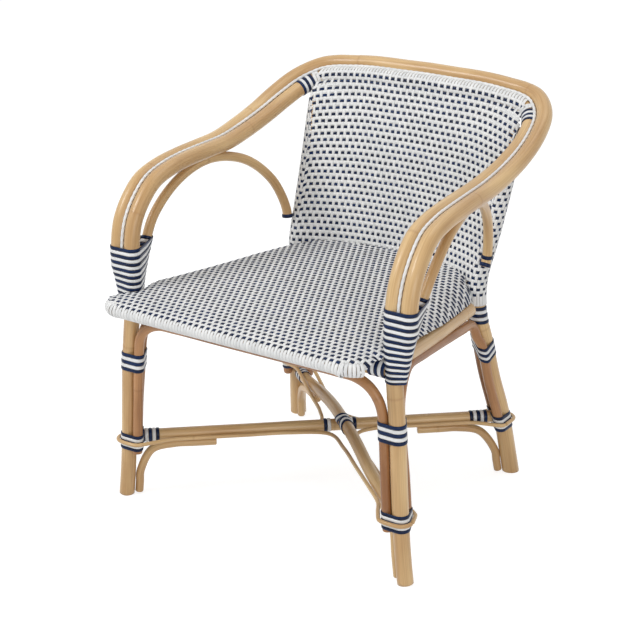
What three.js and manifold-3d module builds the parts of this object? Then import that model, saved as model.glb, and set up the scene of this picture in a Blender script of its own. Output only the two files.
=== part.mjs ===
// Rattan bistro armchair. Millimetres, Z up, the sitter faces -Y, mirrored about X = 0.
import * as THREE from 'three';
import { mergeVertices } from 'three/addons/utils/BufferGeometryUtils.js';
import Module from 'manifold-3d';

const wasm = await Module();
wasm.setup();

// Overall size. Every route below is written in shares of these three lengths.
const footHalfSpan = 322; // middle of the chair to the foot of a front leg
const frontReach = 272; // middle of the chair forward to the front legs
const cordHeight = 772; // floor to the piping at the middle of the back

// Pole radii
const hoopRadius = 15;
const postRadius = 17;
const archRadius = 9.5;
const stretcherRadius = 12;
const braceRadius = 7;
const rodRadius = 4.25;
const cordRadius = 3;
const sideRailRadius = 14;
const frontRailRadius = 9.5;
const backRailRadius = 12;
const crossRailRadius = 13;

// Cane and weave
const caneThickness = 1.5;
const caneWidth = 6.6;
const caneGap = 0.7;
const sleeveThickness = 2.4;
const weaveThickness = 6;
const weaveWrap = 3.5;
const seatThickness = 3.5;

// Fits
const clearance = 0.3;
const easyFit = 0.6;
const legFit = 0.8; // extra for the pole that a binding lies on first
const rodFit = 2; // a thin rod round a tied corner
const hoopGap = 1.2; // between the two poles of the double arm
const crossingGap = 0.5; // between the stretchers where they cross

// Facets
const poleSides = 8;
const thinSides = 6;
const rodSides = 5;
const cordSides = 4;
const windingSteps = 8;
const hullSides = 8;
const searchSteps = 24;
const sleeveLevels = 3;
const collarPoints = 6;
const collarSteps = 2;
const straightSteps = 2;
const bowSteps = 10;
const archSteps = 22;
const armArchSteps = 16;
const postSteps = 12;
const frontRailSteps = 18;
const backRailSteps = 8;
const sideRailSteps = 9;
const weldTolerance = 0.001;
const tidyTolerance = 0.08; // slivers thinner than this are merged away after a cut
const backPanelColumns = 10;
const backPanelRows = 4;

// Shape counts and shares
const pairStations = 24; // bends of the double arm over half the chair
const scarfTipRadius = 3;
const scarfOverlap = 2;
const scarfLevels = [0, 0.25, 0.5, 0.75, 1];
const strandTurns = 11; // turns of each strand of the front wrap
const tieTurns = 5;
const cornerLift = 0.1; // share of a facet that a strip rises while it passes from pole to pole
const archFootRadius = 13.5;
const archFootOffset = [2, 6]; // across and back from the leg, where the arch grows out of it
const wrapCrowding = 0.8; // loops of the front wrap: this share of the even spacing at the bottom
const wrapRoomLevels = [0, 0.1, 0.21, 0.35, 0.5, 0.62, 0.75, 0.88, 1];
const tiltAllowance = 1.1; // a raked post is this much wider when cut level
const legTopShare = 0.45;
const footShare = 0.3; // the part of a leg or post that a brace stands beside
const inwardShare = 0.3; // where along a stretcher its direction is taken
const edgeMargin = 0.03;
const archEndShare = 0.33; // the part of an arch that stands upright
const bowPower = 2.1;
const seatCornerRows = 3;
const seatCornerPower = 8;
const seatShoulderPower = 5;
const seatColumnShares = [-1, -0.85, -0.65, -0.35, 0, 0.35, 0.65, 0.85, 1];
const archTieAllowance = 1.1; // the same for an arch's upright end
const archTilt = 1.2; // the arm arch's end is this much longer when cut level
const rodTurnSteps = [0.07, 0.3, 0.6, 0.95];
// How far in along the stretcher, and how far out beside it as a multiple of where the two touch
const rodRunShares = [[0.11, 1.75], [0.19, 1.14], [0.35, 1.02], [0.55, 1.02], [0.76, 1.02]];
const braceUprightShares = [0.003, 0.04, 0.08];
const braceBendShare = 0.045;
const braceRunShares = [0.1, 0.16, 0.22];
const stretcherWrapShares = [0.075, 0.12];
const crossingWrapShares = [0.514, 0.598];
const stubShares = [0.04, 0.1];
const armArchCollarShares = { front: [0.19, 0.22], back: [0.93, 0.985] };
const cornerWrapShares = [0.965, 0.999];

// Looks
const rattanRoughness = 0.45;
const navyRoughness = 0.4;
const whiteRoughness = 0.45;
const weaveRoughness = 0.6;
const rattanColour = 0xd9a45f;
const navyColour = 0x1d2b4f;
const whiteColour = 0xf1efe6;

// Bends a share triple out to its real place.
const place = ([x, y, z]) => new THREE.Vector3(x * footHalfSpan, y * frontReach, z * cordHeight);
const mirrored = (point) => new THREE.Vector3(-point.x, point.y, point.z);
const route = (shares, side = 1) => shares.map(place).map((p) => (side > 0 ? p : mirrored(p)));
const smooth = (points) => new THREE.CatmullRomCurve3(points, false, 'centripetal');

// Route of the piping, right half, from inside the front wrap to the middle of the back
const cordShares = [
  [0.9348, -1.0257, 0.6218],
  [0.9363, -1.0257, 0.6736],
  [0.9379, -0.9706, 0.7448],
  [0.9317, -0.7537, 0.8264],
  [0.9255, -0.3566, 0.8549],
  [0.9068, 0.0882, 0.864],
  [0.8975, 0.5588, 0.9003],
  [0.8447, 0.9375, 0.9521],
  [0.7298, 1.1029, 0.9806],
  [0.5652, 1.1434, 0.9909],
  [0.3789, 1.1471, 0.9974],
  [0.1957, 1.1471, 0.9987],
  [0, 1.1471, 1],
];
// Direction from the inner to the outer pole at each of those points: the pair rolls over at the corner
const rollDirections = [
  [1, 0, 0], [1, 0, 0], [1, 0, 0], [1, 0, 0], [1, 0, 0], [1, 0, 0.05], [0.98, 0, 0.2],
  [0.8, 0.3, 0.55], [0.4, 0.6, 0.72], [0.12, 0.7, 0.7], [0, 0.7, 0.7], [0, 0.7, 0.7], [0, 0.7, 0.7],
];
const legShares = [
  [1.0062, -1, -0.0194],
  [1, -1, 0],
  [0.9783, -1, 0.0777],
  [0.9627, -1, 0.1541],
  [0.9472, -1, 0.2591],
  [0.9317, -0.9982, 0.3756],
  [0.9053, -0.9945, 0.4922],
  [0.8882, -0.9908, 0.5829],
];
const postShares = [
  [0.8199, 0.8971, -0.0194],
  [0.8137, 0.886, 0],
  [0.7671, 0.7978, 0.1723],
  [0.7205, 0.7316, 0.2785],
  [0.6863, 0.6728, 0.3847],
  [0.6615, 0.6324, 0.4469],
  [0.6491, 0.614, 0.5052],
  [0.6522, 0.625, 0.5583],
  [0.6646, 0.6985, 0.6218],
  [0.6739, 0.7574, 0.6736],
  [0.6863, 0.8529, 0.7642],
  [0.6957, 0.9154, 0.829],
  [0.7081, 1, 0.9132],
  [0.7112, 1.0147, 0.9301],
];
const armArchShares = [
  [0.9193, -0.9044, 0.5376],
  [0.9286, -0.864, 0.5803],
  [0.9379, -0.7904, 0.6373],
  [0.9503, -0.6581, 0.715],
  [0.9317, -0.3934, 0.7876],
  [0.8944, -0.0772, 0.8174],
  [0.8323, 0.2426, 0.7927],
  [0.7702, 0.4706, 0.7254],
  [0.7329, 0.5735, 0.6541],
  [0.7205, 0.5919, 0.614],
  [0.7143, 0.5551, 0.5803],
];
const frontArchShares = [
  [0.823, -1.0257, 0.4469],
  [0.7671, -1.0294, 0.4754],
  [0.6832, -1.0294, 0.4909],
  [0.559, -1.0294, 0.4935],
  [0.2795, -1.0294, 0.4935],
  [0, -1.0294, 0.4935],
];
const sideArchShares = [
  [0.9224, -0.8934, 0.4275],
  [0.9099, -0.8529, 0.4702],
  [0.8975, -0.7537, 0.4974],
  [0.8882, -0.6066, 0.506],
  [0.882, -0.2206, 0.506],
  [0.8323, 0.1029, 0.5052],
  [0.7764, 0.3015, 0.5026],
  [0.7267, 0.4338, 0.4896],
  [0.6894, 0.5074, 0.4534],
];
const backArchShares = [
  [0.5621, 0.6654, 0.4275],
  [0.5124, 0.6691, 0.4689],
  [0.4286, 0.6912, 0.4935],
  [0.295, 0.7279, 0.5026],
  [0, 0.7574, 0.5039],
];
// Upright ends of the arches: heights, then the direction and gap from the leg or post beside each
const archStands = {
  front: { levels: [0.1269, 0.2591, 0.3692, 0.4080], way: [-1, -0.2], gap: 1.3 },
  sideFront: { levels: [0.1269, 0.2591, 0.3692], way: [0, 1], gap: 0.8 },
  sideBack: { levels: [0.3886, 0.2785, 0.1723, 0.1269], way: [0.03, -1], gap: 4 },
  back: { levels: [0.1269, 0.1723, 0.2785, 0.3692], way: [-1, 0], gap: 2 },
};
const sideRailShares = [
  [0.9006, -0.9853, 0.5453],
  [0.882, -0.864, 0.5453],
  [0.8602, -0.7353, 0.544],
  [0.8416, -0.5184, 0.5402],
  [0.8292, -0.3015, 0.5356],
  [0.7919, 0.0368, 0.5311],
  [0.7547, 0.2279, 0.5311],
  [0.7019, 0.4118, 0.5324],
  [0.6491, 0.6176, 0.5324],
];
const backRailShares = [
  [0.6491, 0.614, 0.5324],
  [0.528, 0.6765, 0.5324],
  [0.295, 0.739, 0.5324],
  [0, 0.761, 0.5324],
];
const frontRailShares = [
  [0.882, -1.0956, 0.5492],
  [0.8789, -1.1691, 0.5492],
  [0.8478, -1.2353, 0.5492],
  [0.7826, -1.2647, 0.5492],
  [0.3727, -1.2684, 0.5492],
  [0, -1.2684, 0.5492],
];
const crossRailShares = [
  [0.9193, -1, 0.5246],
  [0, -1, 0.5246],
];
// Woven seat from front to back: its middle, and its edge at the same row
const seatRowShares = [
  [[0, -1.2721, 0.5648], [0.8789, -1.1765, 0.5615]],
  [[0, -1.1838, 0.5687], [0.8773, -1.1324, 0.5648]],
  [[0, -1.0662, 0.5712], [0.854, -1.0588, 0.5674]],
  [[0, -0.9191, 0.5719], [0.8509, -0.9191, 0.5674]],
  [[0, -0.7537, 0.5715], [0.8789, -0.7537, 0.5648]],
  [[0, -0.5184, 0.5706], [0.8602, -0.5184, 0.5583]],
  [[0, -0.3015, 0.5696], [0.8463, -0.3015, 0.5525]],
  [[0, 0, 0.5674], [0.8106, 0, 0.5492]],
  [[0, 0.2574, 0.5654], [0.7609, 0.2059, 0.5499]],
  [[0, 0.5147, 0.5631], [0.7143, 0.3897, 0.5512]],
  [[0, 0.7463, 0.5609], [0.646, 0.5441, 0.5544]],
];
const lowStretcherEnds = [[0.9658, -1, 0.1632], [-0.7702, 0.8015, 0.1632]];
// Bowed stretcher: where it passes, and its height over the other as a share of the rise at the crossing
const highStretcherShares = [
  [[0.9658, -1, 0.1632], -0.53],
  [[0.7453, -0.7684, 0.1632], -0.33],
  [[0.5124, -0.5294, 0.1632], 0.08],
  [[0.295, -0.3015, 0.1632], 0.65],
  [[0.0932, -0.0956, 0.1632], 1],
  [[-0.0932, 0.0993, 0.1632], 1],
  [[-0.2795, 0.2904, 0.1632], 0.65],
  [[-0.4503, 0.4706, 0.1632], 0.08],
  [[-0.6211, 0.6471, 0.1632], -0.37],
  [[-0.7702, 0.8015, 0.1632], -0.57],
];
const rodHeightShare = 0.1541;
// Nearest points of the thin rods to the crossing, front, side and back
const rodTurnShares = {
  front: [0, -0.125, 0.1541],
  side: [0.1429, 0.0147, 0.1541],
  back: [0, 0.2059, 0.1541],
};

// Where along the piping the arm poles end and the hidden back pole begins
const armPoleStartShare = 0.08;
const armPoleEndShare = 0.628;
const bandStartShare = 0.655;
const hoopFootShare = 0.1;
const backPoleStartShare = 0.63;

// Heights, as shares of the piping's height
const heights = {
  frontWrap: [0.5026, 0.6632],
  scarfFoot: [0.5, 0.6218],
  upperTie: [0.3523, 0.4003],
  lowerTie: [0.1256, 0.1762],
  backWrap: [0.4339, 0.4806],
  chevronTie: [0.3394, 0.3886],
  backWeave: [0.5648, 0.8912],
};
const heightOf = (share) => share * cordHeight;

const roundSection = (radius, sides) => new THREE.Shape(
  Array.from({ length: sides }, (_, i) => {
    const angle = (2 * Math.PI * i) / sides;
    return new THREE.Vector2(radius * Math.cos(angle), radius * Math.sin(angle));
  }),
);
// Same curve, but with its bends at its own points instead of evenly along it
const bentAtPoints = (curve) => {
  const copy = curve.clone();
  copy.getUtoTmapping = (share) => share;
  return copy;
};
// A pole or rod; without a number of steps it bends at the points of its route.
const rodGeometry = ({ curve, radius, steps, sides = poleSides }) => new THREE.ExtrudeGeometry(
  roundSection(radius, sides),
  {
    steps: steps ?? curve.points.length - 1,
    bevelEnabled: false,
    extrudePath: steps ? curve : bentAtPoints(curve),
  },
);

// Leaves out triangles whose corners fell together.
const wholeTriangles = (index) => {
  const kept = [];
  for (let i = 0; i < index.length; i += 3) {
    const [a, b, c] = [index[i], index[i + 1], index[i + 2]];
    if (a !== b && b !== c && c !== a) kept.push(a, b, c);
  }
  return Uint32Array.from(kept);
};
// Welds a geometry by position and turns it into a solid that can be cut.
const toSolid = (geometry) => {
  const bare = new THREE.BufferGeometry();
  bare.setAttribute('position', geometry.getAttribute('position'));
  if (geometry.index) bare.setIndex(geometry.index);
  const welded = mergeVertices(bare, weldTolerance);
  const vertProperties = Float32Array.from(welded.getAttribute('position').array);
  const triVerts = wholeTriangles(welded.index.array);
  const corner = (i) => new THREE.Vector3().fromArray(vertProperties, triVerts[i] * 3);
  let volume = 0;
  for (let i = 0; i < triVerts.length; i += 3) {
    volume += corner(i).dot(corner(i + 1).cross(corner(i + 2)));
  }
  if (volume < 0) {
    for (let i = 0; i < triVerts.length; i += 3) {
      [triVerts[i], triVerts[i + 1]] = [triVerts[i + 1], triVerts[i]];
    }
  }
  return new wasm.Manifold(new wasm.Mesh({ numProp: 3, vertProperties, triVerts }));
};
const rod = (spec) => toSolid(rodGeometry(spec));
// The room that a pole takes up, with its clearance
const roomOf = (spec, extra = 0) => {
  const sides = spec.sides ?? poleSides;
  return rod({ ...spec, radius: spec.radius + extra + clearance / Math.cos(Math.PI / sides) });
};
const cut = (solid, rooms) => rooms.reduce((left, room) => left.subtract(room), solid);
const largest = (solid) => solid.decompose().reduce((a, b) => (a.volume() > b.volume() ? a : b));
const onFloor = (solid) => solid.trimByPlane([0, 0, 1], 0);

// Joins rings of equal count into one closed skin.
const loft = (rings) => {
  const count = rings[0].length;
  const points = rings.flat();
  const index = [];
  for (let r = 0; r + 1 < rings.length; r += 1) {
    for (let i = 0; i < count; i += 1) {
      const a = r * count + i;
      const b = r * count + ((i + 1) % count);
      index.push(a, b, b + count, a, b + count, a + count);
    }
  }
  const last = (rings.length - 1) * count;
  for (let i = 1; i + 1 < count; i += 1) {
    index.push(0, i + 1, i, last, last + i, last + i + 1);
  }
  const geometry = new THREE.BufferGeometry().setFromPoints(points);
  geometry.setIndex(index);
  return geometry;
};

// Point of a curve at a height, searched between two shares of its length.
const spotAt = (curve, height, from, to) => {
  let low = from;
  let high = to;
  const rising = curve.getPoint(to).z > curve.getPoint(from).z;
  for (let i = 0; i < searchSteps; i += 1) {
    const middle = (low + high) / 2;
    if ((curve.getPoint(middle).z < height) === rising) low = middle;
    else high = middle;
  }
  return curve.getPoint((low + high) / 2);
};
// Which circle of a group reaches furthest in one direction
const furthest = (circles, angle) => {
  const reachOf = ({ spot, radius }) => spot.x * Math.cos(angle) + spot.y * Math.sin(angle) + radius;
  return circles.reduce((best, circle, i) => (reachOf(circle) > reachOf(circles[best]) ? i : best), 0);
};
// Corner between two flat sides laid against a circle
const ringCorner = ({ spot, radius }, angle, reach, sides) => {
  const far = (radius + reach) / Math.cos(Math.PI / sides);
  return new THREE.Vector3(spot.x + far * Math.cos(angle), spot.y + far * Math.sin(angle), spot.z);
};
// Furthest point of a group of circles in one direction, pushed out by a reach
const outline = (circles, angle, reach) => {
  const { spot, radius } = circles[furthest(circles, angle)];
  const far = radius + reach;
  return new THREE.Vector3(spot.x + far * Math.cos(angle), spot.y + far * Math.sin(angle), spot.z);
};
const atHeight = (point, height) => point.setZ(height);

// Flat cane wound round a group of poles: one unbroken strip, its turns closer together at the bottom.
// With two strands each strip leaves every second turn to the other.
let leastWindingGap = Infinity;
const winding = ({ circlesAt, bottom, top, turns, crowd = 1, strands = 1, strand = 0 }) => {
  const reach = clearance + caneThickness / 2;
  const span = top - bottom;
  const places = turns * strands;
  const riseAt = (turn) => {
    const share = (turn * strands + strand) / places;
    return span * (crowd * share + (1 - crowd) * share * share);
  };
  const facet = (2 * Math.PI) / windingSteps;
  const rings = [];
  const stations = [];
  const addStation = (pole, step, lift) => {
    const turn = (step + 1 / 2 + lift) / windingSteps;
    const low = bottom + riseAt(turn) + caneGap / 2;
    const high = bottom + riseAt(turn + 1 / strands) - caneGap / 2;
    const angle = facet * (step + 1 / 2);
    const out = new THREE.Vector3(Math.cos(angle), Math.sin(angle), 0).multiplyScalar(caneThickness / 2);
    const [lowSpot, highSpot] = [low, high].map((height) => (
      atHeight(ringCorner(circlesAt(height)[pole], angle, reach, windingSteps), height)
    ));
    stations.push({ angle, low, high, spot: lowSpot.clone() });
    const [lowOuter, highOuter] = [lowSpot.clone().add(out), highSpot.clone().add(out)];
    rings.push([lowOuter, highOuter, highSpot.sub(out), lowSpot.sub(out)]);
  };
  let holder = furthest(circlesAt(bottom), 0);
  for (let step = 0; step < turns * windingSteps - windingSteps / strands; step += 1) {
    const next = furthest(circlesAt(bottom + riseAt((step + 1 / 2) / windingSteps)), facet * (step + 1));
    if (next === holder) addStation(holder, step, 0);
    else {
      addStation(holder, step, -cornerLift);
      addStation(next, step, cornerLift);
    }
    holder = next;
  }
  stations.forEach((a) => stations.forEach((b) => {
    const apart = b.angle - a.angle;
    if (apart < 2 * Math.PI - facet || apart > 2 * Math.PI + facet) return;
    if (Math.hypot(b.spot.x - a.spot.x, b.spot.y - a.spot.y) > caneWidth) return;
    leastWindingGap = Math.min(leastWindingGap, b.low - a.high);
  }));
  return toSolid(loft(rings));
};
// Plain tied sleeve round a group of poles
const hullSolid = ({ circlesAt, bottom, top, reach }) => toSolid(loft(
  Array.from({ length: sleeveLevels }, (_, level) => {
    const height = bottom + ((top - bottom) * level) / (sleeveLevels - 1);
    const circles = circlesAt(height);
    return Array.from({ length: hullSides }, (__, i) => (
      atHeight(outline(circles, (2 * Math.PI * i) / hullSides, reach), height)
    ));
  }),
));
// A stretch of a curve, between two shares of its length
const stretch = (curve, from, to) => smooth(Array.from({ length: collarPoints }, (_, i) => (
  curve.getPointAt(from + ((to - from) * i) / (collarPoints - 1))
)));
const collarSpec = (spec, [from, to]) => ({
  curve: stretch(spec.curve, from, to),
  radius: spec.radius + sleeveThickness,
  steps: collarSteps,
  sides: hullSides,
});
const collar = (spec, shares) => rod(collarSpec(spec, shares));

// The double arm and top rail: both poles follow the piping in the groove between them.
const cordHalf = smooth(route(cordShares));
const pairSpread = hoopRadius + hoopGap / 2;
const pairSink = Math.sqrt((hoopRadius + cordRadius + easyFit) ** 2 - pairSpread ** 2);
const pairAt = (share) => {
  const cord = cordHalf.getPoint(share);
  const along = cordHalf.getTangent(share);
  const spot = share * (rollDirections.length - 1);
  const before = Math.min(Math.floor(spot), rollDirections.length - 2);
  const roll = new THREE.Vector3(...rollDirections[before]);
  roll.lerp(new THREE.Vector3(...rollDirections[before + 1]), spot - before);
  const side = roll.addScaledVector(along, -roll.dot(along)).normalize();
  const groove = new THREE.Vector3().crossVectors(side, along);
  const middle = cord.clone().addScaledVector(groove, -pairSink);
  return {
    cord,
    inner: middle.clone().addScaledVector(side, -pairSpread),
    outer: middle.clone().addScaledVector(side, pairSpread),
  };
};
// Points at the stations that all three share, between two shares of the half route
const along = (key, from, to) => {
  const shares = Array.from({ length: pairStations + 1 }, (_, i) => i / pairStations);
  const between = shares.filter((share) => share > from && share < to);
  return [from, ...between, to].map((share) => pairAt(share)[key]);
};
const wholeHoop = (key, from) => {
  const half = along(key, from, 1);
  half[half.length - 1].x = 0;
  return smooth([...half, ...half.slice(0, -1).reverse().map(mirrored)]);
};
const sided = (points, side) => smooth(side > 0 ? points : points.map(mirrored));

const outerHoop = { curve: wholeHoop('outer', 0), radius: hoopRadius };
const piping = { curve: wholeHoop('cord', 0), radius: cordRadius, sides: cordSides };
const backPole = { curve: wholeHoop('inner', backPoleStartShare), radius: hoopRadius };
// Upright ends of the arches
const legLine = smooth(route(legShares));
const postLine = smooth(route(postShares));
const stands = ({ levels, way, gap }, line, radius) => levels.map((level) => {
  const apart = new THREE.Vector3(...way, 0).setLength(radius + archRadius + gap);
  return spotAt(line, heightOf(level), 0, 1).add(apart);
});
const halfCurve = (half) => smooth([...half, ...half.slice(0, -1).reverse().map(mirrored)]);
const frontArchHalf = [...stands(archStands.front, legLine, hoopRadius), ...route(frontArchShares)];
const backArchHalf = [...stands(archStands.back, postLine, postRadius), ...route(backArchShares)];
const sideArchPoints = [
  ...stands(archStands.sideFront, legLine, hoopRadius),
  ...route(sideArchShares),
  ...stands(archStands.sideBack, postLine, postRadius),
];
const crossingRise = 2 * stretcherRadius + crossingGap;
const highStretcherPoints = highStretcherShares.map(([spot, rise]) => (
  place(spot).add(new THREE.Vector3(0, 0, rise * crossingRise))
));
const arch = (curve) => ({ curve, radius: archRadius, steps: archSteps, sides: thinSides });
const frontArch = arch(halfCurve(frontArchHalf));
const backArch = arch(halfCurve(backArchHalf));
const frontRail = {
  curve: halfCurve(route(frontRailShares)), radius: frontRailRadius, steps: frontRailSteps, sides: thinSides,
};
const backRail = {
  curve: halfCurve(route(backRailShares)), radius: backRailRadius, steps: backRailSteps, sides: thinSides,
};
const crossRail = {
  curve: halfCurve(route(crossRailShares)), radius: crossRailRadius, steps: straightSteps,
};
const lowStretcher = {
  curve: smooth(route(lowStretcherEnds, -1)), radius: stretcherRadius, steps: straightSteps,
};
const highStretcher = { curve: smooth(highStretcherPoints), radius: stretcherRadius, steps: bowSteps };

const sideOf = (side) => {
  const arm = along('inner', armPoleStartShare, armPoleEndShare);
  const legPole = { curve: sided([...route(legShares), ...arm], side), radius: hoopRadius };
  return {
    side,
    legPole,
    post: { curve: smooth(route(postShares, side)), radius: postRadius, steps: postSteps },
    armArch: { ...arch(smooth(route(armArchShares, side))), steps: armArchSteps },
    sideArch: arch(sided(sideArchPoints, side)),
    sideRail: { curve: smooth(route(sideRailShares, side)), radius: sideRailRadius, steps: sideRailSteps },
  };
};
const right = sideOf(1);
const left = sideOf(-1);
const both = [right, left];
const suffix = (s) => (s.side > 0 ? 'right' : 'left');

const flip = (s, point) => (s.side > 0 ? point : mirrored(point));

// Poles as circles at a height, for what is tied round them
const circleOf = (spot, radius) => ({ spot, radius });
const archCircle = (spot) => circleOf(spot, archRadius * archTieAllowance);
const legCircle = (s, h) => circleOf(spotAt(s.legPole.curve, h, 0, legTopShare), hoopRadius + legFit);
const postCircle = (s, h) => circleOf(spotAt(s.post.curve, h, 0, 1), postRadius * tiltAllowance);
const frontArchCircle = (s, h) => archCircle(flip(s, spotAt(frontArch.curve, h, 0, archEndShare)));
const backArchCircle = (s, h) => archCircle(flip(s, spotAt(backArch.curve, h, 0, archEndShare)));
const sideArchFront = (s, h) => archCircle(spotAt(s.sideArch.curve, h, 0, archEndShare));
const sideArchBack = (s, h) => archCircle(spotAt(s.sideArch.curve, h, 1 - archEndShare, 1));
// Ground-down end of the outer arm pole, lying against the leg
const scarfCircle = (s, h) => {
  const [foot, top] = heights.scarfFoot.map(heightOf);
  if (h > top) return { spot: flip(s, spotAt(outerHoop.curve, h, 0, hoopFootShare)), radius: hoopRadius };
  const share = THREE.MathUtils.clamp((h - foot) / (top - foot), 0, 1);
  const radius = THREE.MathUtils.lerp(scarfTipRadius, hoopRadius, share);
  const spot = legCircle(s, h).spot.clone();
  spot.x += s.side * (hoopRadius + radius + hoopGap);
  return { spot, radius };
};
// The arm arch's slanted end grows out of the back of the leg inside the wrap
const armArchCircle = (s, h) => {
  const end = s.armArch.curve.getPoint(0);
  const [foot] = heights.frontWrap.map(heightOf);
  const grown = end.z - archRadius / 2;
  if (h > grown) return circleOf(spotAt(s.armArch.curve, h, 0, archEndShare), archRadius * archTilt);
  const share = THREE.MathUtils.clamp((h - foot) / (grown - foot), 0, 1);
  const [across, back] = archFootOffset;
  return {
    spot: legCircle(s, h).spot.clone().add(new THREE.Vector3(s.side * across, back, 0)).lerp(end, share),
    radius: THREE.MathUtils.lerp(archFootRadius, archRadius * archTilt, share),
  };
};

const frontWrapCircles = (s) => (h) => [legCircle(s, h), scarfCircle(s, h), armArchCircle(s, h)];
const frontTie = (s) => (h) => [legCircle(s, h), frontArchCircle(s, h), sideArchFront(s, h)];
const backTie = (s) => (h) => [postCircle(s, h), backArchCircle(s, h), sideArchBack(s, h)];
const [wrapBottom, wrapTop] = heights.frontWrap.map(heightOf);
// Room of the whole front wrap, with flat sides like the strips'
const wrapRoom = (s) => {
  const reach = caneThickness + 2 * clearance + easyFit;
  const facet = (2 * Math.PI) / windingSteps;
  const rings = wrapRoomLevels.map((share) => {
    const height = THREE.MathUtils.lerp(wrapBottom - caneWidth, wrapTop + caneWidth, share);
    const circles = frontWrapCircles(s)(height);
    const cornerOf = (step, side) => {
      const holder = circles[furthest(circles, facet * side)];
      return atHeight(ringCorner(holder, facet * (step + 1 / 2), reach, windingSteps), height);
    };
    const steps = [...Array(windingSteps).keys()];
    return steps.flatMap((step) => [cornerOf(step, step), cornerOf(step, step + 1)]);
  });
  return toSolid(loft(rings));
};

// Thin rod: from the outermost point of one tied corner, in beside the stretcher, round and out to the next
const rodHeight = heightOf(rodHeightShare);
const corners = {
  frontRight: frontTie(right)(rodHeight),
  backRight: backTie(right)(rodHeight),
};
const rodReach = sleeveThickness + rodFit + rodRadius;
const besideStretcher = stretcherRadius + rodRadius + easyFit;
const rodHalf = (circles, turn) => {
  const centre = circles[0].spot.clone().setZ(rodHeight);
  const inward = new THREE.Vector3(-centre.x, -centre.y, 0);
  const length = inward.length();
  inward.normalize();
  const outAngle = Math.atan2(-inward.y, -inward.x);
  const besideAngle = outAngle + (turn * Math.PI) / 2;
  const beside = new THREE.Vector3(Math.cos(besideAngle), Math.sin(besideAngle), 0);
  const round = rodTurnSteps.map((share) => (
    atHeight(outline(circles, outAngle + (turn * share * Math.PI) / 2, rodReach), rodHeight)
  ));
  const straight = rodRunShares.map(([way, out]) => (
    centre.clone().addScaledVector(inward, way * length).addScaledVector(beside, out * besideStretcher)
  ));
  return [...round, ...straight];
};
const turnPoint = (name) => place(rodTurnShares[name]);
const frontRodHalf = rodHalf(corners.frontRight, -1);
const backRodHalf = rodHalf(corners.backRight, 1);
const rodCurves = {
  front: smooth([...frontRodHalf, turnPoint('front'), ...frontRodHalf.map(mirrored).reverse()]),
  back: smooth([...backRodHalf, turnPoint('back'), ...backRodHalf.map(mirrored).reverse()]),
};
const rightRod = [
  ...rodHalf(corners.frontRight, 1), turnPoint('side'), ...rodHalf(corners.backRight, -1).reverse(),
];
rodCurves.right = smooth(rightRod);
rodCurves.left = smooth(rightRod.map(mirrored));
const rods = Object.fromEntries(Object.entries(rodCurves).map(([name, curve]) => (
  [name, { curve, radius: rodRadius, sides: rodSides }]
)));

// Corner braces: up the inner side of a foot, then in under the stretcher
const brace = (pole, stretcher, reversed) => {
  const way = (share) => stretcher.curve.getPointAt(reversed ? 1 - share : share);
  const under = stretcherRadius + braceRadius + easyFit;
  const legSpot = (height) => spotAt(pole.curve, height, 0, footShare);
  const inward = way(inwardShare).sub(way(0)).setZ(0).normalize();
  const beside = pole.radius * tiltAllowance + braceRadius + easyFit;
  const upright = braceUprightShares.map((share) => (
    atHeight(legSpot(heightOf(share)).addScaledVector(inward, beside), heightOf(share))
  ));
  const bend = way(braceBendShare);
  const run = braceRunShares.map((share) => way(share).add(new THREE.Vector3(0, 0, -under)));
  const elbow = bend.clone().add(new THREE.Vector3(0, 0, -under - braceRadius));
  const curve = smooth([...upright, elbow, ...run]);
  return { curve, radius: braceRadius, steps: bowSteps, sides: thinSides };
};
const braces = {
  front_right: brace(right.legPole, highStretcher, false),
  back_left: brace(left.post, highStretcher, true),
  front_left: brace(left.legPole, lowStretcher, false),
  back_right: brace(right.post, lowStretcher, true),
};

const stretcherRooms = [roomOf(lowStretcher), roomOf(highStretcher)];
const material = (color, roughness) => new THREE.MeshStandardMaterial({ color, roughness, metalness: 0 });
const rattan = () => material(rattanColour, rattanRoughness);
const navyCane = () => material(navyColour, navyRoughness);
const whiteCane = () => material(whiteColour, whiteRoughness);
const whiteWeave = () => material(whiteColour, weaveRoughness);

const chair = new THREE.Group();
chair.name = 'rattan_bistro_armchair';
const add = (name, solid, look) => {
  const mesh = largest(solid.simplify(tidyTolerance)).getMesh();
  const raw = new THREE.BufferGeometry();
  const spots = Float32Array.from(mesh.vertProperties);
  raw.setAttribute('position', new THREE.BufferAttribute(spots, mesh.numProp));
  raw.setIndex(Array.from(mesh.triVerts));
  const piece = new THREE.Mesh(mergeVertices(raw, weldTolerance).toNonIndexed(), look);
  piece.geometry.computeVertexNormals();
  piece.name = name;
  chair.add(piece);
};

// Poles
const outerHoopBody = both.reduce((body, s) => {
  const [foot, top] = heights.scarfFoot.map(heightOf);
  const rings = scarfLevels.map((share) => {
    const height = THREE.MathUtils.lerp(foot, top + scarfOverlap, share);
    const { spot, radius } = scarfCircle(s, height);
    return Array.from({ length: poleSides }, (_, i) => {
      const angle = (2 * Math.PI * i) / poleSides;
      const out = new THREE.Vector3(Math.cos(angle), Math.sin(angle), 0).multiplyScalar(radius);
      return atHeight(out.add(spot), height);
    });
  });
  return body.add(cut(toSolid(loft(rings)), [roomOf(s.legPole)]));
}, rod(outerHoop));
add('outer_arm_and_top_rail_pole', outerHoopBody, rattan());
add('piping_cord', rod(piping), whiteWeave());
both.forEach((s) => {
  add(`front_leg_and_arm_pole_${suffix(s)}`, onFloor(rod(s.legPole)), rattan());
  const postBody = cut(rod(s.post), [roomOf(s.legPole), roomOf(backPole)]);
  add(`back_leg_post_${suffix(s)}`, onFloor(postBody), rattan());
  add(`arm_arch_${suffix(s)}`, rod(s.armArch), rattan());
  add(`side_arch_${suffix(s)}`, rod(s.sideArch), rattan());
});
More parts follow.
